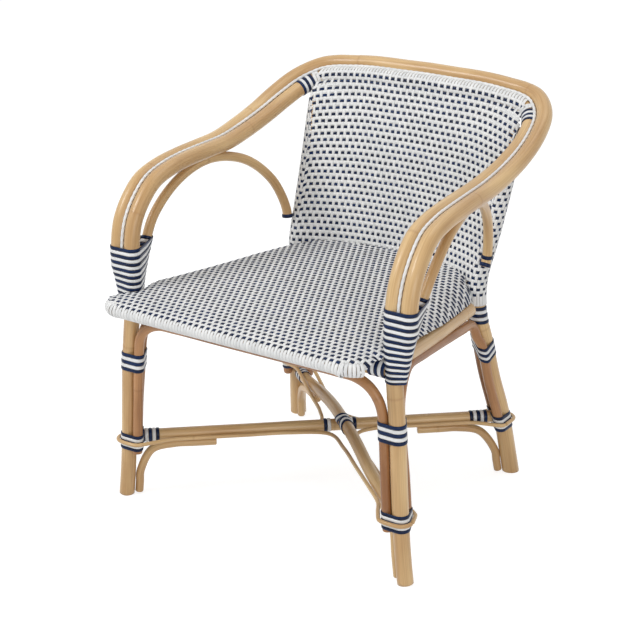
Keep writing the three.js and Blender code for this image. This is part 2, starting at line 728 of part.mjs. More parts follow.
add('back_upper_pole', cut(rod(backPole), both.map((s) => roomOf(s.legPole))), rattan());
add('front_arch', rod(frontArch), rattan());
add('back_arch', rod(backArch), rattan());

// Seat frame
const legRooms = both.map((s) => roomOf(s.legPole));
const postRooms = both.map((s) => roomOf(s.post));
const wrapRooms = both.map(wrapRoom);
add('seat_front_rail', rod(frontRail), rattan());
add('seat_back_rail', largest(cut(rod(backRail), postRooms)), rattan());
add('front_cross_rail', largest(cut(rod(crossRail), wrapRooms)), rattan());
both.forEach((s) => {
  const rail = cut(rod(s.sideRail), [...wrapRooms, ...postRooms, roomOf(backRail)]);
  add(`seat_side_rail_${suffix(s)}`, largest(rail), rattan());
});

// Stretchers, their braces and the thin rods
const archRooms = [roomOf(frontArch), roomOf(backArch), ...both.map((s) => roomOf(s.sideArch))];
const uprightRooms = [...legRooms, ...postRooms, ...archRooms];
add('low_stretcher', largest(cut(rod(lowStretcher), uprightRooms)), rattan());
add('high_stretcher', largest(cut(rod(highStretcher), uprightRooms)), rattan());
Object.entries(braces).forEach(([name, spec]) => {
  const body = cut(rod(spec), [...uprightRooms, ...stretcherRooms]);
  add(`corner_brace_${name}`, largest(body), rattan());
});
Object.entries(rods).forEach(([name, spec]) => {
  add(`stretcher_rod_${name}`, rod(spec), rattan());
});

// Cane windings
both.forEach((s) => {
  ['navy', 'white'].forEach((colour, strand) => {
    add(`front_wrap_${colour}_${suffix(s)}`, winding({
      circlesAt: frontWrapCircles(s),
      bottom: wrapBottom,
      top: wrapTop,
      turns: strandTurns,
      crowd: wrapCrowding,
      strands: 2,
      strand,
    }), colour === 'navy' ? navyCane() : whiteCane());
  });
  add(`front_leg_tie_${suffix(s)}`, winding({
    circlesAt: frontTie(s),
    bottom: heightOf(heights.upperTie[0]),
    top: heightOf(heights.upperTie[1]),
    turns: tieTurns,
  }), navyCane());
  add(`back_leg_wrap_${suffix(s)}`, winding({
    circlesAt: (h) => [postCircle(s, h)],
    bottom: heightOf(heights.backWrap[0]),
    top: heightOf(heights.backWrap[1]),
    turns: tieTurns,
  }), navyCane());
});

// Plain tied sleeves: low corners, chevrons, stretcher ends and the crossing
const braceRooms = Object.values(braces).map((spec) => roomOf(spec));
const rodRooms = Object.values(rods).map((spec) => roomOf(spec));
const tieSleeve = (circlesAt, [bottom, top], rooms) => largest(cut(
  hullSolid({ circlesAt, bottom: heightOf(bottom), top: heightOf(top), reach: sleeveThickness }),
  rooms,
));
const lowRooms = [...archRooms, ...stretcherRooms, ...braceRooms, ...rodRooms];
both.forEach((s) => {
  const sleeves = {
    low_tie_front: tieSleeve(frontTie(s), heights.lowerTie, [roomOf(s.legPole), ...lowRooms]),
    low_tie_back: tieSleeve(backTie(s), heights.lowerTie, [roomOf(s.post), ...lowRooms]),
    chevron_tie: tieSleeve(backTie(s), heights.chevronTie, [roomOf(s.post), ...archRooms]),
  };
  Object.entries(sleeves).forEach(([name, sleeve]) => add(`${name}_${suffix(s)}`, sleeve, navyCane()));
});
const stretcherWraps = {
  front_left: [lowStretcher, 0],
  back_right: [lowStretcher, 1],
  front_right: [highStretcher, 0],
  back_left: [highStretcher, 1],
};
Object.entries(stretcherWraps).forEach(([name, [spec, end]]) => {
  const sleeve = collar(spec, stretcherWrapShares.map((share) => (end ? 1 - share : share)).sort());
  const rooms = [roomOf(spec), ...rodRooms, ...braceRooms];
  add(`stretcher_wrap_${name}`, largest(cut(sleeve, rooms)), navyCane());
});
const crossingSleeve = [lowStretcher, highStretcher]
  .map((spec) => collar(spec, crossingWrapShares))
  .reduce((body, sleeve) => body.add(sleeve));
add('crossing_wrap', largest(cut(crossingSleeve, [...stretcherRooms, ...rodRooms])), navyCane());

// Small collars on the arm arches, the top corners and the cross rail
const hoopRoom = roomOf(outerHoop);
const pipingRoom = roomOf(piping);
both.forEach((s) => {
  const frontCollar = collar(s.armArch, armArchCollarShares.front);
  const frontRooms = [roomOf(s.armArch), roomOf(s.legPole), hoopRoom, wrapRoom(s)];
  add(`arm_arch_collar_front_${suffix(s)}`, largest(cut(frontCollar, frontRooms)), navyCane());
  const backCollar = collar(s.armArch, armArchCollarShares.back);
  const backRooms = [roomOf(s.armArch), roomOf(s.post)];
  add(`arm_arch_collar_back_${suffix(s)}`, largest(cut(backCollar, backRooms)), navyCane());
  const corner = collar(s.legPole, cornerWrapShares);
  const cornerRooms = [roomOf(s.legPole), roomOf(backPole), hoopRoom, pipingRoom, roomOf(s.post)];
  add(`corner_wrap_${suffix(s)}`, largest(cut(corner, cornerRooms)), navyCane());
  const stub = collar(crossRail, stubShares.map((share) => (s.side > 0 ? share : 1 - share)).sort());
  add(`cross_rail_wrap_${suffix(s)}`, largest(cut(stub, [roomOf(crossRail), wrapRoom(s)])), navyCane());
});

// Closed panel between a front face and a rear face, row by row
const panelSolid = (rings) => {
  const count = rings[0].length;
  const index = [];
  for (let r = 0; r + 1 < rings.length; r += 1) {
    for (let i = 0; i < count; i += 1) {
      const a = r * count + i;
      const b = r * count + ((i + 1) % count);
      index.push(a, b, b + count, a, b + count, a + count);
    }
  }
  const width = count / 2;
  const last = (rings.length - 1) * count;
  for (let i = 0; i + 1 < width; i += 1) {
    const j = count - 1 - i;
    index.push(i, j, i + 1, i + 1, j, j - 1);
    index.push(last + i, last + i + 1, last + j, last + i + 1, last + j - 1, last + j);
  }
  const geometry = new THREE.BufferGeometry().setFromPoints(rings.flat());
  geometry.setIndex(index);
  return toSolid(geometry);
};
const offsetBy = (points, offset) => points.map((point) => point.clone().add(offset));

// Woven seat: a thin crowned panel, its front edge wrapped round the front rail
const seatRows = seatRowShares.map((ends) => ends.map(place));
const seatFace = seatRows.map(([centre, edge], row) => seatColumnShares.map((share) => {
  const size = Math.abs(share);
  const bend = size ** (row < seatCornerRows ? seatCornerPower : bowPower);
  return new THREE.Vector3(
    edge.x * share,
    THREE.MathUtils.lerp(centre.y, edge.y, bend),
    THREE.MathUtils.lerp(centre.z, edge.z, size ** seatShoulderPower),
  );
}));
const halfSeat = new THREE.Vector3(0, 0, seatThickness / 2);
const seatPanel = panelSolid(seatFace.map((row) => [
  ...offsetBy(row, halfSeat), ...offsetBy(row, halfSeat.clone().negate()).reverse(),
]));
const rear = seatRows[seatRows.length - 1][0];
const lipEnd = frontRail.curve.getPoint(0).y - 2 * weaveWrap;
const wrappedRail = rod({ ...frontRail, radius: frontRailRadius + weaveWrap, sides: poleSides });
const lip = wrappedRail.trimByPlane([0, -1, 0], -lipEnd);
const sideRailRooms = both.map((s) => roomOf(s.sideRail));
const seat = cut(seatPanel.add(lip), [
  roomOf(frontRail), ...wrapRooms, ...postRooms, ...sideRailRooms, roomOf(backRail),
]);
add('woven_seat', largest(seat), whiteWeave());

// Woven back: a bowed panel that turns round the posts and the hidden upper pole
const weaveRange = heights.backWeave.map(heightOf);
const postFront = (s, h) => {
  const spot = spotAt(s.post.curve, h, 0, 1);
  spot.y -= postRadius + weaveWrap - weaveThickness / 2;
  return spot;
};
const backLow = postFront(right, weaveRange[0]);
const backHigh = postFront(right, weaveRange[1]);
const bowAt = (share) => Math.abs(share) ** bowPower;
const backColumns = Array.from({ length: backPanelColumns + 1 }, (_, i) => (2 * i) / backPanelColumns - 1);
const lowEdge = backColumns.map((share) => new THREE.Vector3(
  backLow.x * share,
  THREE.MathUtils.lerp(rear.y, backLow.y, bowAt(share)),
  weaveRange[0],
));
const topEdge = backColumns.map((share) => {
  const x = backHigh.x * Math.abs(share);
  let from = backPoleStartShare - edgeMargin;
  let to = 1;
  for (let i = 0; i < searchSteps; i += 1) {
    const middle = (from + to) / 2;
    if (pairAt(middle).inner.x > x) from = middle;
    else to = middle;
  }
  const spot = pairAt((from + to) / 2).inner;
  spot.x = backHigh.x * share;
  spot.y -= hoopRadius + weaveWrap - weaveThickness / 2;
  return spot;
});
const backRows = Array.from({ length: backPanelRows + 1 }, (_, i) => i / backPanelRows);
const backFace = backRows.map((row) => lowEdge.map((low, i) => low.clone().lerp(topEdge[i], row)));
const halfBack = new THREE.Vector3(0, weaveThickness / 2, 0);
const backPanel = panelSolid(backFace.map((row) => [
  ...offsetBy(row, halfBack.clone().negate()), ...offsetBy(row, halfBack).reverse(),
]));
const postSleeve = (s) => {
  const [low, high] = weaveRange;
  const sleeve = rod({ ...s.post, radius: postRadius + weaveWrap });
  return sleeve.trimByPlane([0, 0, 1], low).trimByPlane([0, 0, -1], -high);
};
const band = rod({ curve: wholeHoop('inner', bandStartShare), radius: hoopRadius + weaveWrap });
const sleeves = [...both.map(postSleeve), band];
const backBody = cut(sleeves.reduce((body, sleeve) => body.add(sleeve), backPanel), [
  ...postRooms, roomOf(backPole), hoopRoom, pipingRoom, ...legRooms,
  ...both.map((s) => roomOf(s.armArch)),
  ...both.map((s) => roomOf(collarSpec(s.armArch, armArchCollarShares.back))),
  ...both.map((s) => roomOf(collarSpec(s.legPole, cornerWrapShares))),
]);
add('woven_back', largest(backBody), whiteWeave());

// Origin: on the floor under the middle of the whole chair
const extent = new THREE.Box3().setFromObject(chair);
const middle = extent.getCenter(new THREE.Vector3());
chair.children.forEach((piece) => piece.geometry.translate(0, -middle.y, 0));

console.log(`moved forward by ${middle.y.toFixed(3)} mm`);
const lengths = extent.getSize(new THREE.Vector3()).toArray();
console.log(`size ${lengths.map((v) => v.toFixed(1)).join(' x ')} mm`);
console.log(`pieces ${chair.children.length}`);
console.log(`least gap between loops of a winding ${leastWindingGap.toFixed(2)} mm`);
const cornerCount = chair.children
  .map((piece) => piece.geometry.getAttribute('position').count)
  .reduce((sum, count) => sum + count);
console.log(`triangles ${cornerCount / 3}`);

export default chair;
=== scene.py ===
"""Looks of a rattan bistro armchair: bent poles, wound cane and a woven seat and back.

Routes are in millimetres in the chair's own drawing, where the sitter faces -Y and X = 0 is the middle.
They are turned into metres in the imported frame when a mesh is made. A share is a place along a curve, or a
part of a size, from 0 to 1.
"""

import math

import bpy
import numpy as np
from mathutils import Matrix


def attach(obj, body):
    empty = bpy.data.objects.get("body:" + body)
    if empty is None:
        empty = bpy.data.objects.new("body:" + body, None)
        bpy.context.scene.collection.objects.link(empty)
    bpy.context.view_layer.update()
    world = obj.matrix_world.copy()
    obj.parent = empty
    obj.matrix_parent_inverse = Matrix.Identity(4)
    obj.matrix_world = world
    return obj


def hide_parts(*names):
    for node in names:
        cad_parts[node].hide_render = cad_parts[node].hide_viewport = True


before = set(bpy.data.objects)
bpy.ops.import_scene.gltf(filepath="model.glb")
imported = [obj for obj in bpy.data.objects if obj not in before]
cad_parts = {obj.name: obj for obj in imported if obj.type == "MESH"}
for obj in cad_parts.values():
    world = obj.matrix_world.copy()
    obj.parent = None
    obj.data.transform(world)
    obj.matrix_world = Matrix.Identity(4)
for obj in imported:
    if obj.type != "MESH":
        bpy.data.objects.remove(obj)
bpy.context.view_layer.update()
rng = np.random.default_rng(7)

MM = 0.001
MIDDLE_SHIFT = 7.341  # the drawing's middle to the frame's middle, along Y
SIDES = {"right": 1, "left": -1}

# Camera, at the photograph's place, in metres and degrees
CAMERA_PLACE = (1.68957, -2.59105 + MIDDLE_SHIFT * MM, 1.55042)
CAMERA_TURN = 33.783
CAMERA_DROP = 21.243
CAMERA_REACH = 50
PIXELS = 640
FOCAL_PIXELS = 1715.3
SENSOR = 36.0
camera_data = bpy.data.cameras.new("camera")
camera_data.sensor_width = SENSOR
camera_data.lens = FOCAL_PIXELS / PIXELS * SENSOR
camera_data.clip_end = CAMERA_REACH
camera = bpy.data.objects.new("camera", camera_data)
camera.location = CAMERA_PLACE
camera.rotation_euler = (math.radians(90 - CAMERA_DROP), 0, math.radians(CAMERA_TURN))
bpy.context.scene.collection.objects.link(camera)
bpy.context.scene.camera = camera

# Pole radii
HOOP = 15.0
POST = 17.0
ARCH = 9.5
STRETCHER = 12.0
BRACE = 8.2
ROD = 3.8
CORD = 3.0
SIDE_RAIL = 14.0
FRONT_RAIL = 9.5
BACK_RAIL = 12.0
CROSS_RAIL = 15.0
HOOP_GAP = 1.2
EASY = 0.6

# Routes, right half or right side
CORD_ROUTE = [
    (301, -279, 480), (301.5, -279, 520), (302, -264, 575), (300, -205, 638), (298, -97, 660),
    (292, 24, 667), (289, 152, 695), (272, 255, 735), (235, 300, 757), (182, 311, 765),
    (122, 312, 770), (63, 312, 771), (0, 312, 772),
]
ROLLS = [
    (1, 0, 0), (1, 0, 0), (1, 0, 0), (1, 0, 0), (1, 0, 0), (1, 0, 0.05), (0.98, 0, 0.2),
    (0.8, 0.3, 0.55), (0.4, 0.6, 0.72), (0.12, 0.7, 0.7), (0, 0.7, 0.7), (0, 0.7, 0.7), (0, 0.7, 0.7),
]
LEG_ROUTE = [
    (324, -272, -15), (322, -272, 0), (315, -272, 60), (310, -272, 119), (305, -272, 200),
    (300, -271.5, 290), (291.5, -270.5, 380), (286, -269.5, 450),
]
POST_ROUTE = [
    (264, 244, -15), (262, 241, 0), (247, 217, 133), (232, 199, 215), (221, 183, 297),
    (213, 172, 345), (209, 167, 390), (210, 170, 431), (214, 190, 480), (217, 206, 520),
    (221, 232, 590), (224, 249, 640), (228, 272, 705), (229, 276, 718),
]
ARM_ARCH_ROUTE = [
    (296, -246, 415), (299, -235, 448), (302, -215, 492), (306, -179, 552), (300, -107, 608),
    (288, -21, 631), (268, 66, 612), (248, 128, 560), (236, 156, 505), (232, 161, 474), (230, 151, 448),
]
FRONT_ARCH_ROUTE = [
    (286.3, -277.1, 98), (279.7, -277.1, 200), (275.1, -276.6, 285), (272.6, -276.3, 315), (265, -279, 345),
    (247, -280, 367), (220, -280, 379), (180, -280, 381), (90, -280, 381), (0, -280, 381),
]
SIDE_ARCH_ROUTE = [
    (306.8, -248, 136), (301.5, -248.3, 200), (292, -248, 285), (288, -246, 330), (285, -238, 352),
    (278, -218, 371), (268, -185, 381), (257, -115, 375), (245, -35, 366), (235, 39, 358), (225.5, 88, 350),
    (219.5, 118, 345.5), (217.5, 134, 341), (219, 144, 330), (223, 149.5, 312), (229.5, 157.6, 295),
    (240, 172.5, 215), (255, 191, 133), (258, 197, 110),
]
BACK_ARCH_ROUTE = [
    (229, 233, 98), (222, 227.5, 133), (206.8, 209.3, 215), (198.2, 195.6, 285), (190, 192, 325),
    (170, 190, 358), (140, 192, 379), (95, 198, 388), (0, 206, 389),
]
SIDE_RAIL_ROUTE = [
    (284, -256, 417), (270, -178, 406), (257, -105, 397), (245, -35, 389.5), (230, 46, 382.5),
    (217, 126, 376.4), (214, 138, 375.4),
]
BACK_RAIL_ROUTE = [(209, 167, 411), (170, 184, 411), (95, 201, 411), (0, 207, 411)]
FRONT_RAIL_RIGHT = [(262, -296, 422), (267, -312, 422), (263, -332, 422), (247, -346, 423), (222, -350, 424)]
FRONT_RAIL_LEFT = [(276, -296, 424), (286, -312, 424), (284, -334, 424), (266, -349, 424), (240, -350, 424)]
FRONT_RAIL_FRONT = [(100, -350, 424), (-100, -350, 424)]
CROSS_RAIL_ROUTE = [(296, -272, 405), (0, -272, 405)]
LOW_STRETCHER_ROUTE = [(-311, -272, 126), (0, 0.6, 126), (248, 218, 126)]
HIGH_STRETCHER_ROUTE = [
    (311, -272, 113), (240, -209, 118), (165, -144, 128), (95, -82, 142), (30, -26, 150.5),
    (-30, 27, 150.5), (-90, 79, 142), (-145, 128, 128), (-200, 176, 117), (-248, 218, 112),
]
ROD_HEIGHT = 122.0
ROD_TURNS = {"front": (0, -34, 119), "side": (46, 4, 119), "back": (0, 56, 119)}

# Heights of what is wound, bottom and top
FRONT_WRAP = (384, 519)
SCARF = (386, 480)
UPPER_TIE = (272, 309)
LOWER_TIE = (104, 138)
BACK_LEFT_LIFT = 18.0  # the left back tie is higher than the others, and the rods rise to it
BACK_WRAP = (335, 371)
CHEVRON = (258, 289)

# Along the piping
ARM_START = 0.08
ARM_END = 0.628
BACK_START = 0.63
PAIR_STATIONS = 24  # points of the double arm over half the chair
SHARE_STEP = 1e-4  # for directions along it

CURVE_STEPS = 60  # straight steps between two points of a route
TINY = 1e-9  # keeps a division clear of zero


def mirror(points):
    return np.array(points, float) * (-1, 1, 1)


def sided(points, side):
    return np.array(points, float) if side > 0 else mirror(points)


def unit(v):
    v = np.asarray(v, float)
    return v / np.maximum(np.linalg.norm(v, axis=-1, keepdims=True), TINY)


class Curve:
    """Smooth line through points, centripetal, as the poles follow it."""

    def __init__(self, points):
        self.points = np.array(points, float)
        self.shares = np.linspace(0, 1, CURVE_STEPS * (len(self.points) - 1) + 1)
        self.table = self.at(self.shares)
        steps = np.linalg.norm(np.diff(self.table, axis=0), axis=1)
        self.run = np.concatenate([[0], np.cumsum(steps)])
        self.length = self.run[-1]

    def at(self, share):
        p = self.points
        share = np.atleast_1d(share)
        spot = share * (len(p) - 1)
        i = np.clip(spot.astype(int), 0, len(p) - 2)
        w = (spot - i)[:, None]
        full = np.vstack([2 * p[0] - p[1], p, 2 * p[-1] - p[-2]])
        a, b, c, d = full[i], full[i + 1], full[i + 2], full[i + 3]
        ab, bc, cd = (
            np.maximum(np.sum((q - r) ** 2, axis=1) ** 0.25, 1e-4)[:, None]
            for q, r in ((a, b), (b, c), (c, d))
        )
        t1 = ((b - a) / ab - (c - a) / (ab + bc) + (c - b) / bc) * bc
        t2 = ((c - b) / bc - (d - b) / (bc + cd) + (d - c) / cd) * bc
        c2 = -3 * b + 3 * c - 2 * t1 - t2
        c3 = 2 * b - 2 * c + t1 + t2
        return b + t1 * w + c2 * w**2 + c3 * w**3

    def at_run(self, run):
        return np.stack([np.interp(run, self.run, self.table[:, k]) for k in range(3)], axis=-1)

    def even(self, step, start=0.0, end=None):
        end = self.length if end is None else end
        return np.linspace(start, end, max(2, int(math.ceil((end - start) / step)) + 1))

    def at_height(self, z, low=0.0, high=1.0):
        keep = (self.shares >= low) & (self.shares <= high)
        rows = self.table[keep]
        if rows[-1, 2] < rows[0, 2]:
            rows = rows[::-1]
        spot = [np.interp(z, rows[:, 2], rows[:, k]) for k in range(2)]
        return np.array([*spot, z])

    def run_at_height(self, z, low, high):
        keep = (self.shares >= low) & (self.shares <= high)
        return float(np.interp(z, self.table[keep][:, 2], self.run[keep]))


def whole(points):
    """Both halves of a route that ends in the middle."""
    half = np.array(points, float)
    return Curve(np.vstack([half, mirror(half[:-1])[::-1]]))


# The double arm and top rail, on both sides of the piping
cord_half = Curve(CORD_ROUTE)
pair_spread = HOOP + HOOP_GAP / 2
pair_sink = math.sqrt((HOOP + CORD + EASY) ** 2 - pair_spread**2)


def pair_at(share):
    cord = cord_half.at(share)[0]
    ahead, behind = min(share + SHARE_STEP, 1), max(share - SHARE_STEP, 0)
    along = unit(cord_half.at(ahead)[0] - cord_half.at(behind)[0])
    spot = share * (len(ROLLS) - 1)
    before = min(int(spot), len(ROLLS) - 2)
    roll = np.array(ROLLS[before]) * (1 - spot + before) + np.array(ROLLS[before + 1]) * (spot - before)
    side = unit(roll - along * roll.dot(along))
    groove = np.cross(side, along)
    middle = cord - groove * pair_sink
    return {"cord": cord, "inner": middle - side * pair_spread, "outer": middle + side * pair_spread}


def pair_line(key, start, end=1.0):
    stations = [s / PAIR_STATIONS for s in range(PAIR_STATIONS + 1)]
    shares = [start, *[s for s in stations if start < s < end], end]
    return np.array([pair_at(s)[key] for s in shares])


def hoop_line(key, start):
    half = pair_line(key, start)
    half[-1, 0] = 0
    return whole(half)


outer_hoop = hoop_line("outer", 0)
piping = hoop_line("cord", 0)
back_pole = hoop_line("inner", BACK_START)
front_arch = whole(FRONT_ARCH_ROUTE)
back_arch = whole(BACK_ARCH_ROUTE)
front_rail = Curve(np.vstack([FRONT_RAIL_RIGHT, FRONT_RAIL_FRONT, mirror(FRONT_RAIL_LEFT)[::-1]]))
back_rail = whole(BACK_RAIL_ROUTE)
cross_rail = whole(CROSS_RAIL_ROUTE)
low_stretcher = Curve(LOW_STRETCHER_ROUTE)
high_stretcher = Curve(HIGH_STRETCHER_ROUTE)
arm_pole = pair_line("inner", ARM_START, ARM_END)
leg_pole = {n: Curve(sided(np.vstack([LEG_ROUTE, arm_pole]), s)) for n, s in SIDES.items()}
post = {n: Curve(sided(POST_ROUTE, s)) for n, s in SIDES.items()}
arm_arch = {n: Curve(sided(ARM_ARCH_ROUTE, s)) for n, s in SIDES.items()}
side_arch = {n: Curve(sided(SIDE_ARCH_ROUTE, s)) for n, s in SIDES.items()}
side_rail = {n: Curve(sided(SIDE_RAIL_ROUTE, s)) for n, s in SIDES.items()}


# Materials
RATTAN_GRAIN = {
    "patch_scale": 30, "patch_stretch": 0.18, "patch_stops": (0.36, 0.64),
    "streak_scale": 420, "streak_stretch": 0.02, "streak_detail": 4,
    "streak_colour": (0.78, 0.72, 0.66), "streak_share": 0.75,
    "coat_roughness": 0.22, "bump_depth": 0.0004,
}
CANE_GRAIN = {
    "patch_scale": 55, "patch_stretch": 0.3, "patch_stops": (0.35, 0.65),
    "streak_scale": 900, "streak_stretch": 0.03, "streak_detail": 3,
    "streak_colour": (0.86, 0.86, 0.86), "streak_share": 0.6,
    "coat_roughness": 0.2, "bump_depth": 0.0003,
}
PATCH_DETAIL = 2
STREAK_STOPS = (0.3, 0.6)
FULL = (1, 1, 1)


def new_material(name):
    material = bpy.data.materials.new(name)
    material.use_nodes = True
    nodes = material.node_tree.nodes
    nodes.clear()
    return material, nodes, material.node_tree.links


def add_node(nodes, kind, **inputs):
    """A shader node with some of its inputs set; an underscore in a name stands for a space."""
    node = nodes.new(kind)
    for name, value in inputs.items():
        node.inputs[name.replace("_", " ")].default_value = value
    return node


def add_math(nodes, links, operation, first, second):
    node = nodes.new("ShaderNodeMath")
    node.operation = operation
    for socket, value in zip(node.inputs, (first, second)):
        if isinstance(value, float):
            socket.default_value = value
        else:
            links.new(value, socket)
    return node.outputs[0]


def add_attribute(nodes, name, output):
    attribute = nodes.new("ShaderNodeAttribute")
    attribute.attribute_name = name
    return attribute.outputs[output]


def fibre_noise(nodes, links, scale, stretch, detail):
    """Noise drawn out along the fibres: fine across them, coarse along them."""
    mapping = add_node(nodes, "ShaderNodeMapping", Scale=(1, 1, stretch))
    links.new(add_attribute(nodes, "fibre", "Vector"), mapping.inputs["Vector"])
    noise = add_node(nodes, "ShaderNodeTexNoise", Scale=scale, Detail=detail)
    links.new(mapping.outputs["Vector"], noise.inputs["Vector"])
    return noise.outputs["Fac"]


def two_tone(nodes, links, source, stops, colours):
    node = nodes.new("ShaderNodeValToRGB")
    for element, place, colour in zip(node.color_ramp.elements, stops, colours):
        element.position = place
        element.color = (*colour, 1)
    links.new(source, node.inputs["Fac"])
    return node.outputs["Color"]


def mix(nodes, links, mode, factor, a, b):
    node = nodes.new("ShaderNodeMix")
    node.data_type = "RGBA"
    node.blend_type = mode
    for name, kind, value in (("Factor", "VALUE", factor), ("A", "RGBA", a), ("B", "RGBA", b)):
        socket = next(i for i in node.inputs if i.name == name and i.type == kind)
        if isinstance(value, (tuple, float)):
            socket.default_value = value
        else:
            links.new(value, socket)
    return next(o for o in node.outputs if o.type == "RGBA")


def srgb(*levels):
    """A colour as seen, from 0 to 255, to the linear values that a socket takes."""
    shares = [v / 255 for v in levels]
    return tuple(s / 12.92 if s <= 0.04045 else ((s + 0.055) / 1.055) ** 2.4 for s in shares)


def fibre_material(name, light, dark, grain, roughness, coat, specular, bump_share, ring=None):
    """Broad patches of two colours under fine streaks; ring is the colour of a pole's growth rings."""
    material, nodes, links = new_material(name)
    shader = add_node(
        nodes, "ShaderNodeBsdfPrincipled", Roughness=roughness, Coat_Weight=coat,
        Specular_IOR_Level=specular, Coat_Roughness=grain["coat_roughness"])
    out = nodes.new("ShaderNodeOutputMaterial")
    links.new(shader.outputs[0], out.inputs["Surface"])
    patches = fibre_noise(nodes, links, grain["patch_scale"], grain["patch_stretch"], PATCH_DETAIL)
    streaks = fibre_noise(
        nodes, links, grain["streak_scale"], grain["streak_stretch"], grain["streak_detail"])
    broad = two_tone(nodes, links, patches, grain["patch_stops"], (dark, light))
    fine = two_tone(nodes, links, streaks, STREAK_STOPS, (grain["streak_colour"], FULL))
    colour = mix(nodes, links, "MULTIPLY", grain["streak_share"], broad, fine)
    if ring:
        colour = mix(nodes, links, "MIX", add_attribute(nodes, "mark", "Fac"), colour, (*ring, 1))
    links.new(colour, shader.inputs["Base Color"])
    bump = add_node(nodes, "ShaderNodeBump", Strength=bump_share, Distance=grain["bump_depth"])
    links.new(streaks, bump.inputs["Height"])
    links.new(bump.outputs["Normal"], shader.inputs["Normal"])
    return material


RATTAN = fibre_material(
    "rattan_pole", srgb(221, 187, 135), srgb(196, 157, 107), RATTAN_GRAIN, 0.4, 0.35, 0.35, 0.25,
    srgb(160, 112, 66))
# A darker, browner copy of the rattan for the front, back and side arches: painted shade for the shade under
# the seat and between the legs
RATTAN_SHADED = fibre_material(
    "rattan_painted_shade", srgb(190, 140, 93), srgb(148, 100, 60), RATTAN_GRAIN, 0.4, 0.25, 0.35, 0.25,
    srgb(134, 88, 52))
NAVY = fibre_material(
    "navy_cane", srgb(13, 40, 82), srgb(6, 21, 50), CANE_GRAIN, 0.32, 0.1, 0.15, 0.3)
WHITE = fibre_material(
    "white_cane", srgb(240, 240, 239), srgb(226, 227, 227), CANE_GRAIN, 0.38, 0.2, 0.4, 0.3)
WEAVE = fibre_material(
    "white_weave", srgb(240, 240, 239), srgb(224, 225, 225), CANE_GRAIN, 0.5, 0.08, 0.35, 0.4)
CANES = {"navy": NAVY, "white": WHITE}


class Piece:
    """Collects closed sweeps and makes them one mesh."""

    def __init__(self, name, material, slot, *nodes):
        self.name, self.material, self.slot, self.nodes = name, material, slot, nodes
        self.verts, self.fibre, self.mark, self.quads, self.tris = [], [], [], [], []
        self.count = 0

    def sweep(self, rings, fibre, mark=None, closed=False):
        """Joins rings of equal count; a fan closes each end, unless the last ring meets the first."""
        rings = np.asarray(rings, float)
        n, m, _ = rings.shape
        base = self.count
        self.verts.append(rings.reshape(-1, 3))
        self.fibre.append(np.asarray(fibre, float).reshape(-1, 3))
        self.mark.append(np.zeros(n * m) if mark is None else np.asarray(mark, float).reshape(-1))
        self.count += n * m
        i = np.arange(n if closed else n - 1)[:, None]
        j = np.arange(m)[None, :]
        after, beside = (i + 1) % n, (j + 1) % m
        corners = np.broadcast_arrays(i * m + j, i * m + beside, after * m + beside, after * m + j)
        self.quads.append(base + np.stack(corners, -1).reshape(-1, 4))
        if closed:
            return
        for row, turn in ((0, -1), (n - 1, 1)):
            self.verts.append(rings[row].mean(0)[None])
            self.fibre.append(self.fibre[-1][:1])
            self.mark.append(np.zeros(1))
            rim = base + row * m + np.arange(m)
            following = np.roll(rim, -1)
            centre = np.full(m, self.count)
            order = (rim, following, centre) if turn > 0 else (following, rim, centre)
            self.tris.append(np.stack(order, -1))
            self.count += 1

    def make(self):
        verts = np.vstack(self.verts)
        quads = np.vstack(self.quads)
        tris = np.vstack(self.tris) if self.tris else np.zeros((0, 3), int)
        mesh = bpy.data.meshes.new(self.name)
        mesh.vertices.add(len(verts))
        placed = (verts + (0, MIDDLE_SHIFT, 0)) * MM
        mesh.vertices.foreach_set("co", placed.astype(np.float32).ravel())
        loops = np.concatenate([quads.ravel(), tris.ravel()])
        totals = np.concatenate([np.full(len(quads), 4), np.full(len(tris), 3)])
        starts = np.concatenate([[0], np.cumsum(totals)[:-1]])
        mesh.loops.add(len(loops))
        mesh.loops.foreach_set("vertex_index", loops.astype(np.int32))
        mesh.polygons.add(len(totals))
        mesh.polygons.foreach_set("loop_start", starts.astype(np.int32))
        mesh.polygons.foreach_set("loop_total", totals.astype(np.int32))
        mesh.polygons.foreach_set("use_smooth", np.ones(len(totals), bool))
        mesh.update(calc_edges=True)
        mesh.validate()
        fibre = mesh.attributes.new("fibre", "FLOAT_VECTOR", "POINT")
        fibre.data.foreach_set("vector", (np.vstack(self.fibre) * MM).astype(np.float32).ravel())
        mark = mesh.attributes.new("mark", "FLOAT", "POINT")
        mark.data.foreach_set("value", np.concatenate(self.mark).astype(np.float32))
        mesh.materials.append(self.material)
        piece = bpy.data.objects.new(self.name, mesh)
        bpy.context.scene.collection.objects.link(piece)
        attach(piece, "root")
        if self.nodes:
            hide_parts(*self.nodes)


def cane_piece(name, colour, *nodes):
    return Piece(name, CANES[colour], f"{colour}_cane", *nodes)


UPRIGHT = 0.9  # upward share from which a line counts as upright


def frames(line):
    """Directions across a line that turn as little as they can along it."""
    tangent = unit(np.gradient(line, axis=0))
    side = np.zeros_like(line)
    seed = np.array((0, 0, 1.0))
    if abs(tangent[0] @ seed) > UPRIGHT:
        seed = np.array((1.0, 0, 0))
    side[0] = unit(seed - tangent[0] * (tangent[0] @ seed))
    for k in range(1, len(line)):
        v = side[k - 1] - tangent[k] * (side[k - 1] @ tangent[k])
        side[k] = v / np.linalg.norm(v)
    return tangent, side, np.cross(tangent, side)


def around(side, other, angle):
    """Directions at some angles round each point of a line."""
    return side[:, None] * np.cos(angle)[:, None] + other[:, None] * np.sin(angle)[:, None]


def fibre_grid(first, second, along, shift=(0, 0, 0)):
    """Fibre coordinates of rings: two across the fibres, then one along them."""
    return np.stack(np.broadcast_arrays(first + shift[0], second + shift[1], along + shift[2]), -1)


